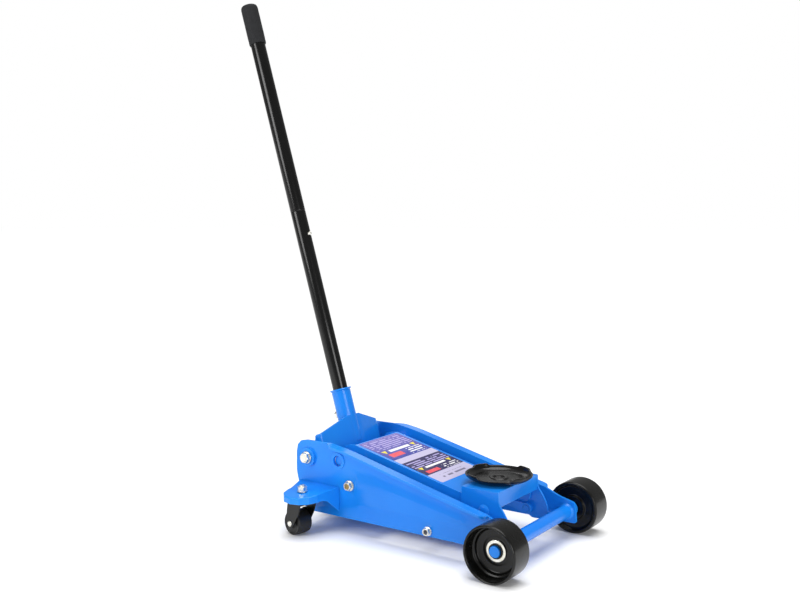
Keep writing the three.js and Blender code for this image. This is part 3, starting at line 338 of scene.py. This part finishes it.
def makeNylon():
    # moulded black nylon: satin, with a faint mould grain and scuffed edges
    material, tree, shader = startMaterial("nylon")
    place = objectPlace(tree)
    grain = noiseValue(tree, place, 900.0, 3.0)
    wearAndHighlight = useGroup(tree, edgeWear, Low=0.02, High=0.2, Break=0.42)
    dusted = useGroup(tree, dust, Amount=0.03)
    body = mixColor(tree, grain, (0.005, 0.005, 0.005, 1), (0.010, 0.010, 0.011, 1))
    scuff = mathNode(tree, "MULTIPLY", wearAndHighlight.outputs["Mask"], 0.5)
    scuffed = mixColor(tree, scuff, body, (0.09, 0.09, 0.09, 1))
    final = mixColor(tree, dusted.outputs["Mask"], scuffed, (0.4, 0.39, 0.37, 1))
    tree.links.new(final, shader.inputs["Base Color"])
    tree.links.new(rangeNode(tree, grain, 0.3, 0.7, 0.3, 0.42), shader.inputs["Roughness"])
    shader.inputs["Specular IOR Level"].default_value = 0.3
    addBump(tree, shader, grain, 0.12, 0.0003)
    return material


def makeGripRubber():
    # matt soft grip: a pebble grain with dark pits, rubbed paler in patches
    material, tree, shader = startMaterial("gripRubber")
    place = objectPlace(tree)
    pebble = addNode(tree, "ShaderNodeTexVoronoi", {"Vector": place, "Scale": 620.0})
    soft = noiseValue(tree, place, 60.0, 5.0)
    dusted = useGroup(tree, dust, Amount=0.2)
    rubbed = rangeNode(tree, soft, 0.35, 0.7)
    body = mixColor(tree, rubbed, (0.010, 0.0105, 0.012, 1), (0.018, 0.019, 0.021, 1))
    pit = rangeNode(tree, pebble.outputs["Distance"], 0.0, 0.45, 0.5, 0.0)
    pitted = mixColor(tree, pit, body, (0.004, 0.004, 0.004, 1))
    final = mixColor(tree, dusted.outputs["Mask"], pitted, (0.1, 0.1, 0.1, 1))
    tree.links.new(final, shader.inputs["Base Color"])
    shader.inputs["Specular IOR Level"].default_value = 0.25
    tree.links.new(rangeNode(tree, soft, 0.3, 0.7, 0.62, 0.8), shader.inputs["Roughness"])
    addBump(tree, shader, pebble.outputs["Distance"], 0.5, 0.0006)
    return material


def makeCastIron():
    # sand casting under thin black paint: coarse grain with oily, glossier patches
    material, tree, shader = startMaterial("castIron")
    place = objectPlace(tree)
    grain = noiseValue(tree, place, 420.0, 6.0, 0.7)
    oil = noiseValue(tree, place, 18.0, 3.0)
    wearAndHighlight = useGroup(tree, edgeWear, Low=0.02, High=0.15, Break=0.4)
    body = mixColor(tree, grain, (0.03, 0.03, 0.032, 1), (0.075, 0.075, 0.08, 1))
    final = mixColor(tree, wearAndHighlight.outputs["Mask"], body, (0.3, 0.28, 0.26, 1))
    tree.links.new(final, shader.inputs["Base Color"])
    shader.inputs["Metallic"].default_value = 0.3
    tree.links.new(rangeNode(tree, oil, 0.4, 0.65, 0.65, 0.35), shader.inputs["Roughness"])
    addBump(tree, shader, grain, 0.35, 0.0008)
    return material


# the second colour of each enamel is the paler edge colour of its painted highlight
azure = makeEnamel("azureEnamel", (0.010, 0.240, 0.800, 1), (0.045, 0.400, 0.930, 1),
                   (0.006, 0.190, 0.730, 1), rough=0.2, coat=0.1, dusty=0.02, wear=0.56,
                   bareShare=0.25, shine=0.25)
blackGloss = makeEnamel("blackEnamel", (0.003, 0.003, 0.003, 1), (0.012, 0.012, 0.012, 1),
                        (0.002, 0.002, 0.002, 1), rough=0.2, coat=0.15, dusty=0.008,
                        wear=0.52, bareShare=0.3, shine=0.28)
wheelBlack = makeEnamel("wheelEnamel", (0.003, 0.003, 0.0025, 1), (0.016, 0.015, 0.013, 1),
                        (0.002, 0.002, 0.0015, 1), rough=0.26, coat=0.08, peel=180.0, bump=0.09, dusty=0.01,
                        wear=0.5, bareShare=0.3, shine=0.25)
saddleBlack = makeEnamel("saddleEnamel", (0.004, 0.004, 0.004, 1), (0.020, 0.020, 0.018, 1),
                         (0.003, 0.003, 0.003, 1), rough=0.2, coat=0.1, peel=150.0, bump=0.12, dusty=0.008,
                         wear=0.46, bareShare=0.4, shine=0.25)
zinc = makeBareMetal("zincPlate", (0.80, 0.79, 0.74, 1), (0.72, 0.70, 0.60, 1), 0.22)
brass = makeBareMetal("brassPlate", (0.55, 0.38, 0.13, 1), (0.36, 0.24, 0.08, 1), 0.3)
oiledSteel = makeBareMetal("oiledSteel", (0.10, 0.10, 0.11, 1), (0.06, 0.06, 0.07, 1), 0.35)
steel = makeBareMetal("groundSteel", (0.58, 0.58, 0.57, 1), (0.50, 0.49, 0.47, 1), 0.28)
nylon = makeNylon()
gripRubber = makeGripRubber()
castIron = makeCastIron()
slotMaterials = {
    "frame_paint": azure, "wheel_paint": wheelBlack, "caster_plastic": nylon,
    "saddle_paint": saddleBlack, "handle_paint": blackGloss, "grip_rubber": gripRubber,
    "zinc": zinc, "steel": steel, "unit_casting": castIron,
}
print("materials made:", len(slotMaterials))


def bodyOf(node):
    return frame["nodes"][node]["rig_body"]


def finishPiece(name, mesh, nodes, material=None, sharp=35):
    piece = bpy.data.objects.new(name, mesh)
    bpy.context.scene.collection.objects.link(piece)
    mesh.materials.clear()
    mesh.materials.append(material or slotMaterials[slotOf[nodes[0]]])
    mesh.polygons.foreach_set("use_smooth", np.ones(len(mesh.polygons), bool))
    mesh.set_sharp_from_angle(angle=math.radians(sharp))
    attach(piece, bodyOf(nodes[0]))
    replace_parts(piece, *nodes)
    return piece


def weighEdges(mesh, share):
    # an edge where a top face turns down gets the full bevel, every other edge only its share of it
    build = bmesh.new()
    build.from_mesh(mesh)
    layer = build.edges.layers.float.new("bevel_weight_edge")
    for edge in build.edges:
        heights = sorted(face.normal.z for face in edge.link_faces)
        full = len(heights) == 2 and edge.is_convex and abs(heights[0]) < 0.6 and heights[1] > 0.8
        edge[layer] = 1.0 if full else share
    build.to_mesh(mesh)
    build.free()


def polishNode(node, width=0.0012, bend=26, material=None, segments=3, share=None):
    # the sheet or casting as drawn, its flat facets merged, and every bend and edge rounded by a bevel
    mesh = frame["nodes"][node].data.copy()
    mesh.name = node + "_polished"
    build = bmesh.new()
    build.from_mesh(mesh)
    bmesh.ops.remove_doubles(build, verts=build.verts, dist=1e-5)
    bmesh.ops.dissolve_limit(build, angle_limit=math.radians(1), verts=build.verts, edges=build.edges,
                             delimit={"NORMAL"})
    build.to_mesh(mesh)
    build.free()
    for name in [a.name for a in mesh.attributes if a.name in ("custom_normal", "sharp_edge", "sharp_face")]:
        mesh.attributes.remove(mesh.attributes[name])
    if share:
        weighEdges(mesh, share)
    piece = finishPiece(node + "_skin", mesh, [node], material, sharp=bend)
    bevel = piece.modifiers.new("edges", "BEVEL")
    bevel.width = width
    bevel.segments = segments
    bevel.limit_method = "WEIGHT" if share else "ANGLE"
    bevel.angle_limit = math.radians(bend)
    bevel.miter_outer = "MITER_ARC"
    bevel.harden_normals = True
    return piece


def softProfile(corners, steps=5):
    # each corner (radius, height, ease) becomes a parabola that leaves its two sides at the ease distance
    points = np.array([c[:2] for c in corners], float)
    eases = np.array([c[2] if len(c) > 2 else 0.0 for c in corners])
    before, after = np.roll(points, 1, 0), np.roll(points, -1, 0)
    out = []
    for i, (corner, ease) in enumerate(zip(points, eases)):
        ends = i in (0, len(points) - 1)
        if ease <= 0 or ends:
            out.append(corner[None, :])
            continue
        toBack, toNext = before[i] - corner, after[i] - corner
        backLength, nextLength = np.hypot(*toBack), np.hypot(*toNext)
        start = corner + toBack * min(ease / backLength, 0.49)
        stop = corner + toNext * min(ease / nextLength, 0.49)
        t = np.linspace(0, 1, steps)[:, None]
        out.append((1 - t) ** 2 * start + 2 * t * (1 - t) * corner + t ** 2 * stop)
    return np.vstack(out)


def spinSurface(name, profile, centre, axis, turns=96, shape=None):
    # point (r, h) of the profile at angle a sits at centre + h*axis + r*k*(cos a, sin a), and k = shape(a, h, r)
    # is 1 when round. Poles close a profile that starts and ends at r = 0; one that meets its start is a ring.
    axis = Vector(axis).normalized()
    across = axis.cross(Vector((0.13, 0.21, 0.97)) if abs(axis.z) < 0.9 else Vector((1, 0, 0))).normalized()
    up = axis.cross(across)
    r, h = profile[:, 0][:, None], profile[:, 1][:, None]
    a = np.linspace(0, 2 * np.pi, turns, endpoint=False)[None, :]
    k = np.ones_like(r * a) if shape is None else shape(a, h, r)
    spoke = np.cos(a)[..., None] * np.array(across) + np.sin(a)[..., None] * np.array(up)
    radial = (r * k)[..., None] * spoke
    points = np.array(centre) + radial + (h * np.ones_like(a))[..., None] * np.array(axis)
    loop = np.allclose(profile[0], profile[-1])
    if loop:
        points = points[:-1]
    rows = len(points)
    index = np.arange(rows * turns).reshape(rows, turns)
    down = np.roll(index, -1, 0) if loop else index[1:]
    top = index if loop else index[:-1]
    quads = np.stack([top, np.roll(top, -1, 1), np.roll(down, -1, 1), down], -1).reshape(-1, 4)
    mesh = bpy.data.meshes.new(name)
    mesh.from_pydata(points.reshape(-1, 3).tolist(), [], quads.tolist())
    build = bmesh.new()
    build.from_mesh(mesh)
    bmesh.ops.remove_doubles(build, verts=build.verts, dist=1e-6)
    bmesh.ops.dissolve_degenerate(build, edges=build.edges, dist=1e-7)
    bmesh.ops.recalc_face_normals(build, faces=build.faces)
    build.to_mesh(mesh)
    build.free()
    return mesh


def hexShape(rFull, low):
    # k of a hexagon with corners at rFull above height low, wherever the profile reaches past the flats
    def k(a, h, r):
        flat = np.cos(np.pi / 6) / np.cos((a % (np.pi / 3)) - np.pi / 6)
        return np.where(h > low, np.minimum(1.0, flat * rFull / np.maximum(r, 1e-9)), 1.0)
    return k


def boxOf(node):
    low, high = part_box(node)
    return np.array(low), np.array(high)


def middleOf(node):
    low, high = boxOf(node)
    return (low + high) / 2


millimetre = 0.001


def spinNode(node, corners, axis, centre, turns=96, shape=None, material=None, sharp=35):
    profile = softProfile([[c * millimetre for c in corner] for corner in corners])
    mesh = spinSurface(node + "_turned", profile, centre, axis, turns, shape)
    return finishPiece(node + "_turned", mesh, [node], material, sharp)


frontWheel = {"rim": 48, "inside": 43, "hub": 22, "bore": 10.45, "width": 51, "webOuter": 23.4}


def makeFrontWheel(word, side):
    # pressed drum: outer dish with a rounded rim, a web with a stepped floor, an inner dish round the hub
    low, high = boxOf(f"front_wheel_{word}")
    inner = low[1] if side > 0 else high[1]
    centre = ((low[0] + high[0]) / 2, inner, (low[2] + high[2]) / 2)
    size = frontWheel
    rim, inside, hub, bore = size["rim"], size["inside"], size["hub"], size["bore"]
    width, floor = size["width"], size["webOuter"]
    corners = [
        (bore, 2.2), (hub, 2.2, 0.8), (hub + 1, 6, 2), (inside - 4, 6.2, 3), (inside - 1, 0.2, 1),
        (rim - 2.2, 0, 1.5), (rim - 0.1, 2, 2), (rim - 0.1, width - 2.4, 2), (rim - 1.6, width, 1.3),
        (inside + 1.6, width, 1.3), (inside, width - 1.8, 1.6), (inside - 1.6, floor + 7, 1.6),
        (inside - 5, floor + 6, 1.8), (inside - 6.5, floor + 0.3, 2.4), (hub + 3, floor - 0.8, 2),
        (hub, floor - 0.1, 1.5), (bore, floor - 0.1), (bore, 2.2),
    ]
    spinNode(f"front_wheel_{word}", corners, (0, side, 0), centre, 128)


def makeWheelTrim(word, side):
    # bright thrust washer with a rolled edge, and a spring clip
    for node, outer, thick in ((f"wheel_washer_{word}", 18, 2.5), (f"axle_clip_{word}", 13, 1.5)):
        low, high = boxOf(node)
        inner = low[1] if side > 0 else high[1]
        centre = (middleOf(node)[0], inner, middleOf(node)[2])
        corners = [(10.3, 0), (outer - 0.2, 0, 0.6), (outer - 0.1, thick, 0.6), (10.3, thick, 0.4), (10.3, 0)]
        spinNode(node, corners, (0, side, 0), centre, 72)


casterSize = {"radius": 22.5, "half": 16, "bore": 3.9, "axleReach": 20}


def makeCasterWheel(word):
    # round tread that falls away over a shoulder to a shallow web and a hub ring
    axis = joints[f"caster_wheel_spin_{word}"]["axis"]
    centre = joints[f"caster_wheel_spin_{word}"]["pos_m"]
    radius, half, bore = casterSize["radius"], casterSize["half"], casterSize["bore"]
    crown = [(radius - 5, 2 - half, 1), (radius - 3.2, 0.4 - half, 1.2), (radius - 0.8, 0.9 - half, 1.6),
             (radius - 0.05, 5 - half, 3)]
    mirrorCrown = [(r, -h, ease) for r, h, ease in reversed(crown)]
    corners = [(bore, -half), (8.6, -half, 0.8), (9.8, 2 - half, 1.2), *crown, *mirrorCrown,
               (9.8, half - 2, 1.2), (8.6, half, 0.8), (bore, half), (bore, -half)]
    spinNode(f"caster_wheel_{word}", corners, axis, centre, 96)


def makeCasterAxle(word):
    # pin with a domed rivet head at each end
    axis = joints[f"caster_wheel_spin_{word}"]["axis"]
    centre = joints[f"caster_wheel_spin_{word}"]["pos_m"]
    reach = casterSize["axleReach"]
    half = [(3.5, reach, 0), (5.5, reach + 0.02, 0.4), (5.0, reach + 1.1, 0.8), (3.2, reach + 1.9, 0.8),
            (0, reach + 1.95)]
    corners = [(r, -h, *ease) for r, h, *ease in reversed(half)] + half
    spinNode(f"caster_axle_{word}", corners, axis, centre, 48)


for word, side in sides.items():
    makeFrontWheel(word, side)
    makeWheelTrim(word, side)
    makeCasterWheel(word)
    makeCasterAxle(word)
print("wheels made")


saddleSize = {"radius": 60, "rimHeight": 129, "seat": 117.3, "lugRise": 3.8, "lugStart": 65, "lugHalf": 16}


def makeSaddle():
    # round dish with a centre ring; near the rim four smooth humps around the circle lift it into lugs
    size = saddleSize
    joint = joints["saddle_swivel"]["pos_m"]
    seat, rim, radius = size["seat"], size["rimHeight"], size["radius"]
    floor = seat + 3.5
    corners = [
        (0, seat - 16.8), (10.2, seat - 16.8, 0.8), (10.9, seat - 15.8, 0.5), (10.9, seat + 0.02, 0.3),
        (radius - 20, seat + 0.02, 3), (radius - 11, seat + 1.8, 2.5), (radius - 2.6, rim - 5, 2.5),
        (radius + 0.2, rim - 1.8, 1.2), (radius + 0.1, rim, 1.0), (radius - 3.6, rim, 1.2),
        (radius - 6.2, rim - 4, 2.5), (radius - 14, floor + 0.4, 4), (17.5, floor + 0.05, 1.6),
        (15.6, floor + 2.1, 1.0), (11.2, floor + 2.1, 1.0), (9.4, floor - 0.4, 0.8), (0, floor - 0.4),
    ]
    profile = softProfile([[c * millimetre for c in corner] for corner in corners], 7)
    mesh = spinSurface("saddle_turned", profile, (joint[0], joint[1], 0), (0, 0, 1), 192)
    co = np.empty(len(mesh.vertices) * 3)
    mesh.vertices.foreach_get("co", co)
    co = co.reshape(-1, 3)
    dx, dy = co[:, 0] - joint[0], co[:, 1] - joint[1]
    r = np.hypot(dx, dy) / millimetre
    angle = (np.degrees(np.arctan2(dy, dx)) - size["lugStart"] + 45) % 90 - 45
    hump = 1 / (1 + np.exp((np.abs(angle) - size["lugHalf"]) / 0.9))
    nearTop = np.clip((co[:, 2] / millimetre - (rim - 5)) / 5, 0, 1)
    nearEdge = np.clip((r - (radius - 7)) / 3, 0, 1)
    lift = hump * nearTop * nearEdge
    co[:, 2] += lift * size["lugRise"] * millimetre
    mesh.vertices.foreach_set("co", co.ravel())
    mesh.update()
    finishPiece("saddle_cast", mesh, ["saddle"], sharp=50)


makeSaddle()
print("saddle made")


handleAxis = Vector(joints["handle_twist"]["axis"]).normalized()
handleFoot = Vector(joints["handle_twist"]["pos_m"])
handle = {"radius": 14.9, "wall": 2, "foot": 30, "joint": 475.7, "spigot": 62, "top": 908,
          "gripFoot": 832, "gripTop": 916, "gripRadius": 17.35}


def makeHandle():
    # two painted tubes joined end to end on a spigot, and a soft grip with a rounded crown
    size = handle
    r, wall = size["radius"], size["wall"]
    inner = r - wall
    split = size["joint"]
    lower = [(inner, size["foot"]), (r - 0.1, size["foot"], 0.5), (r, split, 0.9), (inner, split, 0.4),
             (inner, size["foot"])]
    slip = inner - 0.35
    core = slip - wall
    upper = [(core, split - size["spigot"]), (slip, split - size["spigot"], 0.6), (slip, split + 0.3),
             (r, split + 0.35, 1.4), (r, size["top"], 0.5), (core, size["top"], 0.3),
             (core, split - size["spigot"])]
    spinNode("handle_lower", lower, handleAxis, handleFoot, 96)
    spinNode("handle_upper", upper, handleAxis, handleFoot, 96)
    g, low, high = size["gripRadius"], size["gripFoot"], size["gripTop"]
    inside = r + 0.3
    outside = [(inside, low), (g - 1.0, low, 0.5), (g, low + 2.6, 1.5), (g - 0.35, low + 9, 2),
               (g, low + 14, 2), (g, high - 6, 3), (g - 1.6, high - 1.2, 2.2), (g - 6, high, 3), (0, high)]
    under = [(0, size["top"] + 0.3), (inside, size["top"] + 0.3), (inside, low)]
    spinNode("handle_grip", outside + under, handleAxis, handleFoot, 96, material=gripRubber)


def makeSnapButton():
    # spring button with a rounded nose
    press = -Vector(joints["snap_button_press"]["axis"]).normalized()
    low, high = boxOf("snap_button")
    centre = (Vector(low) + Vector(high)) / 2
    half = 8.2
    corners = [(0, -half), (3.55, -half, 0.3), (3.55, half - 2.2, 1.4), (2.2, half - 0.3, 1.4), (0, half)]
    spinNode("snap_button", corners, press, centre, 48)


makeHandle()
makeSnapButton()
print("handle made")


nuts = {  # shank radius, inner head radius and height, washer radius and height, across flats, nut height
    "unit_bolt": {"shank": 5, "head": 9, "headRise": 5.7, "washer": 10, "washerRise": 2, "across": 15,
                  "rise": 9},
    "yoke_bolt": {"shank": 7, "head": 11, "headRise": 5.7, "washer": 11.4, "washerRise": 2, "across": 18,
                  "rise": 9, "solid": True},
    "tie_nut": {"bore": 4.3, "washer": 8.4, "washerRise": 1.8, "across": 13, "rise": 8},
}


def makeNut(stem, word, side):
    # washer with a soft rim and a hexagon chamfered by a cone; a bolt end sunk in its middle, or a solid head
    size = nuts[stem]
    node = f"{stem}_{word}"
    low, high = boxOf(node)
    middle = (low + high) / 2
    inner, outer = sorted((abs(low[1]), abs(high[1])))
    inner, outer = inner / millimetre, outer / millimetre
    face = outer - size["rise"]
    corner = size["across"] / math.sqrt(3)
    flat = size["across"] / 2
    washerTop = face + size["washerRise"]
    rise = [(size["washer"], face, 0.3), (size["washer"] - 0.1, washerTop, 0.6),
            (corner + 0.05, washerTop + 0.02), (corner + 0.05, outer - 1.5, 0.2), (flat * 0.95, outer, 0.3)]
    if "shank" in size:
        r, head = size["shank"], size["headRise"]
        stub = [(r + 0.7, outer, 0.3), (r + 0.55, outer - 1.2), (r - 0.1, outer - 1.2),
                (r - 0.9, outer - 0.5, 0.5), (0, outer - 0.5)]
        if size.get("solid"):
            stub = [(flat * 0.8, outer, 0.4), (flat * 0.7, outer - 0.4, 0.4), (0, outer - 0.4)]
        foot = [(0, inner), (size["head"] - 0.1, inner, 0.8), (size["head"] - 0.1, inner + head - 0.3, 0.4),
                (r, inner + head - 0.3), (r, face)]
        corners = foot + rise + stub
    else:
        bore = size["bore"]
        corners = [(bore, face)] + rise + [(bore + 0.6, outer, 0.3), (bore, outer - 0.6), (bore, face)]
    shape = hexShape(corner * millimetre, (washerTop + 0.01) * millimetre)
    piece = spinNode(node, corners, (0, side, 0), (middle[0], 0, middle[2]), 96, shape, sharp=28)
    if stem != "unit_bolt":
        return
    mesh = piece.data
    mesh.materials.append(brass)
    centres = np.empty(len(mesh.polygons) * 3)
    mesh.polygons.foreach_get("center", centres)
    centres = centres.reshape(-1, 3) - middle
    sunk = np.hypot(centres[:, 0], centres[:, 2]) < (size["shank"] + 0.6) * millimetre
    mesh.polygons.foreach_set("material_index", sunk.astype(np.int32))


def makePivotShaft():
    # its ends stop inside the side plates, so each bore shows a shadow round a rounded end
    middle = middleOf("arm_pivot_shaft")
    reach, radius = 105.2, 9.9
    end = [(radius, reach - 1.6), (radius - 0.6, reach - 0.3, 0.7), (radius - 2.5, reach, 1), (0, reach)]
    corners = [(r, -h, *ease) for r, h, *ease in reversed(end)] + end
    spinNode("arm_pivot_shaft", corners, (0, 1, 0), middle, 64)


for word, side in sides.items():
    for stem in nuts:
        makeNut(stem, word, side)
makePivotShaft()
print("nuts and pivot shaft made")


labelSize = {"rear": -0.0274, "front": 0.1606, "half": 0.062, "corner": 0.004, "lift": 0.00015,
             "thick": 0.0002}


def boxMask(tree, u, v, uRange, vRange):
    masks = [mathNode(tree, "COMPARE", value, (low + high) / 2, (high - low) / 2)
             for value, (low, high) in ((u, uRange), (v, vRange))]
    return mathNode(tree, "MULTIPLY", *masks)


def rowMask(tree, u, v, uRange, vRange, rows, words):
    # thin rows cut into uneven dashes, like small print seen from far off
    step = mathNode(tree, "MULTIPLY", v, rows / (vRange[1] - vRange[0]))
    line = mathNode(tree, "COMPARE", mathNode(tree, "FRACT", step), 0.5, 0.24)
    along = mathNode(tree, "MULTIPLY", u, words)
    row = mathNode(tree, "MULTIPLY", mathNode(tree, "FLOOR", step), 7.31)
    place = addNode(tree, "ShaderNodeCombineXYZ", {"X": along, "Y": row})
    dash = noiseValue(tree, place.outputs[0], 1.0, 1.0)
    printed = mathNode(tree, "MULTIPLY", line, mathNode(tree, "GREATER_THAN", dash, 0.43))
    return mathNode(tree, "MULTIPLY", printed, boxMask(tree, u, v, uRange, vRange))


def triangleMask(tree, u, v, middle, halfBase, vRange):
    # the half-width shrinks evenly from the base to the tip
    low, high = vRange
    reach = rangeNode(tree, v, low, high, halfBase, 0.0)
    offset = mathNode(tree, "ABSOLUTE", mathNode(tree, "SUBTRACT", u, middle))
    inside = mathNode(tree, "LESS_THAN", offset, reach)
    level = mathNode(tree, "COMPARE", v, (low + high) / 2, (high - low) / 2)
    return mathNode(tree, "MULTIPLY", inside, level)


def makeLabelPrint():
    # vinyl print: two violet panels with pale bands, rows of dashes, title bars, triangles and red blocks
    material, tree, shader = startMaterial("labelPrint")
    uv = addNode(tree, "ShaderNodeUVMap", uv_map="sheet").outputs["UV"]
    split = addNode(tree, "ShaderNodeSeparateXYZ", {"Vector": uv})
    u, v = split.outputs["X"], split.outputs["Y"]
    violet = mixColor(tree, rangeNode(tree, v, 0.0, 0.44), (0.14, 0.11, 0.42, 1), (0.022, 0.036, 0.30, 1))
    pale, lilac, white = (0.50, 0.47, 0.66, 1), (0.42, 0.37, 0.68, 1), (0.84, 0.84, 0.86, 1)
    yellow, red, dark = (0.80, 0.66, 0.045, 1), (0.74, 0.075, 0.10, 1), (0.016, 0.011, 0.085, 1)
    whole = (0.04, 0.96)
    layers = [
        (boxMask(tree, u, v, (-0.1, 1.1), (0.44, 0.53)), pale),
        (boxMask(tree, u, v, (-0.1, 1.1), (0.53, 0.83)), dark),
        (boxMask(tree, u, v, (-0.1, 1.1), (0.83, 1.1)), pale),
        (rowMask(tree, u, v, whole, (0.02, 0.22), 6, 11), lilac),
        (rowMask(tree, u, v, whole, (0.55, 0.68), 4, 11), lilac),
        (rowMask(tree, u, v, (0.55, 0.94), (0.31, 0.42), 3, 14), white),
        (rowMask(tree, u, v, (0.55, 0.94), (0.75, 0.82), 2, 14), white),
        (rowMask(tree, u, v, (0.2, 0.8), (0.88, 0.94), 1, 9), (0.16, 0.15, 0.24, 1)),
        (boxMask(tree, u, v, (0.24, 0.76), (0.25, 0.29)), white),
        (boxMask(tree, u, v, (0.24, 0.76), (0.69, 0.72)), white),
        (boxMask(tree, u, v, (0.10, 0.42), (0.32, 0.39)), red),
        (boxMask(tree, u, v, (0.10, 0.42), (0.76, 0.81)), red),
    ]
    for low, high in ((0.245, 0.305), (0.685, 0.735)):
        for middle in (0.13, 0.87):
            layers.append((triangleMask(tree, u, v, middle, 0.055, (low, high)), yellow))
    color = violet
    for mask, tint in layers:
        color = mixColor(tree, mask, color, tint)
    scuff = useGroup(tree, fineScratch, Density=0.6)
    dusted = useGroup(tree, dust, Amount=0.03)
    scuffed = mathNode(tree, "MULTIPLY", scuff.outputs["Mask"], 0.25)
    color = mixColor(tree, scuffed, color, (0.6, 0.6, 0.66, 1))
    color = mixColor(tree, dusted.outputs["Mask"], color, (0.6, 0.6, 0.6, 1))
    tree.links.new(color, shader.inputs["Base Color"])
    gloss = mathNode(tree, "MULTIPLY_ADD", scuff.outputs["Mask"], 0.2, 0.32)
    tree.links.new(gloss, shader.inputs["Roughness"])
    shader.inputs["Specular IOR Level"].default_value = 0.25
    place = objectPlace(tree)
    ripple = noiseValue(tree, place, 45.0, 2.0)
    addBump(tree, shader, ripple, 0.15, 0.0005)
    return material


def makeLabel():
    # thin sheet on the plane of the arm's top: columns across, rows up the slope; within one corner radius of
    # either end a row's half-width is drawn in by a quarter circle
    size = labelSize
    arm = frame["nodes"]["lift_arm"].data
    count = len(arm.polygons)
    normals, centres, areas = np.empty(count * 3), np.empty(count * 3), np.empty(count)
    arm.polygons.foreach_get("normal", normals)
    arm.polygons.foreach_get("center", centres)
    arm.polygons.foreach_get("area", areas)
    normals, centres = normals.reshape(-1, 3), centres.reshape(-1, 3)
    best = np.argmax(areas * (normals[:, 2] > 0.9))
    normal, centre = normals[best], centres[best]
    length, corner = size["front"] - size["rear"], size["corner"]
    curve = corner / length * (1 - np.cos(np.linspace(0, np.pi / 2, 8)))
    v = np.concatenate([curve, np.linspace(corner / length, 1 - corner / length, 12)[1:-1], 1 - curve[::-1]])
    gap = np.clip(1 - np.minimum(v, 1 - v) * length / corner, 0, 1)
    half = size["half"] - corner * (1 - np.sqrt(1 - gap ** 2))
    y = np.linspace(-1, 1, 13)[None, :] * half[:, None]
    x = size["rear"] + v[:, None] * length + 0 * y
    z = centre[2] - (normal[0] * (x - centre[0]) + normal[1] * (y - centre[1])) / normal[2]
    points = np.stack([x, y, z], -1) + normal * size["lift"]
    index = np.arange(x.size).reshape(x.shape)
    quads = np.stack([index[:-1, :-1], index[1:, :-1], index[1:, 1:], index[:-1, 1:]], -1).reshape(-1, 4)
    mesh = bpy.data.meshes.new("arm_label")
    mesh.from_pydata(points.reshape(-1, 3).tolist(), [], quads[:, ::-1].tolist())
    sheet = mesh.uv_layers.new(name="sheet")
    corners = np.empty(len(mesh.loops), np.int32)
    mesh.loops.foreach_get("vertex_index", corners)
    uv = np.stack([(y + size["half"]) / (2 * size["half"]), v[:, None] + 0 * y], -1).reshape(-1, 2)
    sheet.data.foreach_set("uv", uv[corners].ravel())
    piece = bpy.data.objects.new("arm_label", mesh)
    bpy.context.scene.collection.objects.link(piece)
    mesh.materials.append(makeLabelPrint())
    thicken = piece.modifiers.new("thickness", "SOLIDIFY")
    thicken.thickness = size["thick"]
    thicken.offset = 1
    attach(piece, bodyOf("lift_arm"))


makeLabel()
print("label made")


bevels = {  # node: bevel width in millimetres
    "side_plate": 1.6, "caster_bracket": 2.8, "caster_fork": 0.7, "lift_arm": 1.5, "saddle_head": 1.6,
    "handle_yoke": 1.4, "level_link": 0.8, "ram_link": 0.8, "unit_cradle": 1.0, "power_unit": 1.2,
    "front_axle": 0.8, "caster_bolt": 0.5, "socket_screw": 0.5,
    "head_pivot_pin": 0.8, "crosshead": 0.6, "release_coupler": 0.5, "tie_rod": 0.4, "ram_rod": 0.5,
    "pump_plunger": 0.4, "release_valve": 0.4, "arm_pivot_shaft": 0.5, "link_anchor_shaft": 0.5,
    "ram_lug_pin": 0.4, "link_front_pin": 0.4, "pump_roller": 0.4, "pump_roller_pin": 0.3,
}
shares = {"caster_bracket": 0.35}  # node: the part of its bevel that edges other than its top rim get
done = {name for o in bpy.data.objects for name in o.get("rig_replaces", [])}
for node in sorted(frame["nodes"]):
    stem = node.replace("_right", "").replace("_left", "")
    if node in done or stem not in bevels:
        continue
    polishNode(node, bevels[stem] * millimetre, share=shares.get(stem),
               material=oiledSteel if stem == "tie_rod" else None)
for node, cad in frame["nodes"].items():
    cad.data.materials.clear()
    cad.data.materials.append(slotMaterials[slotOf[node]])
print("steelwork polished")
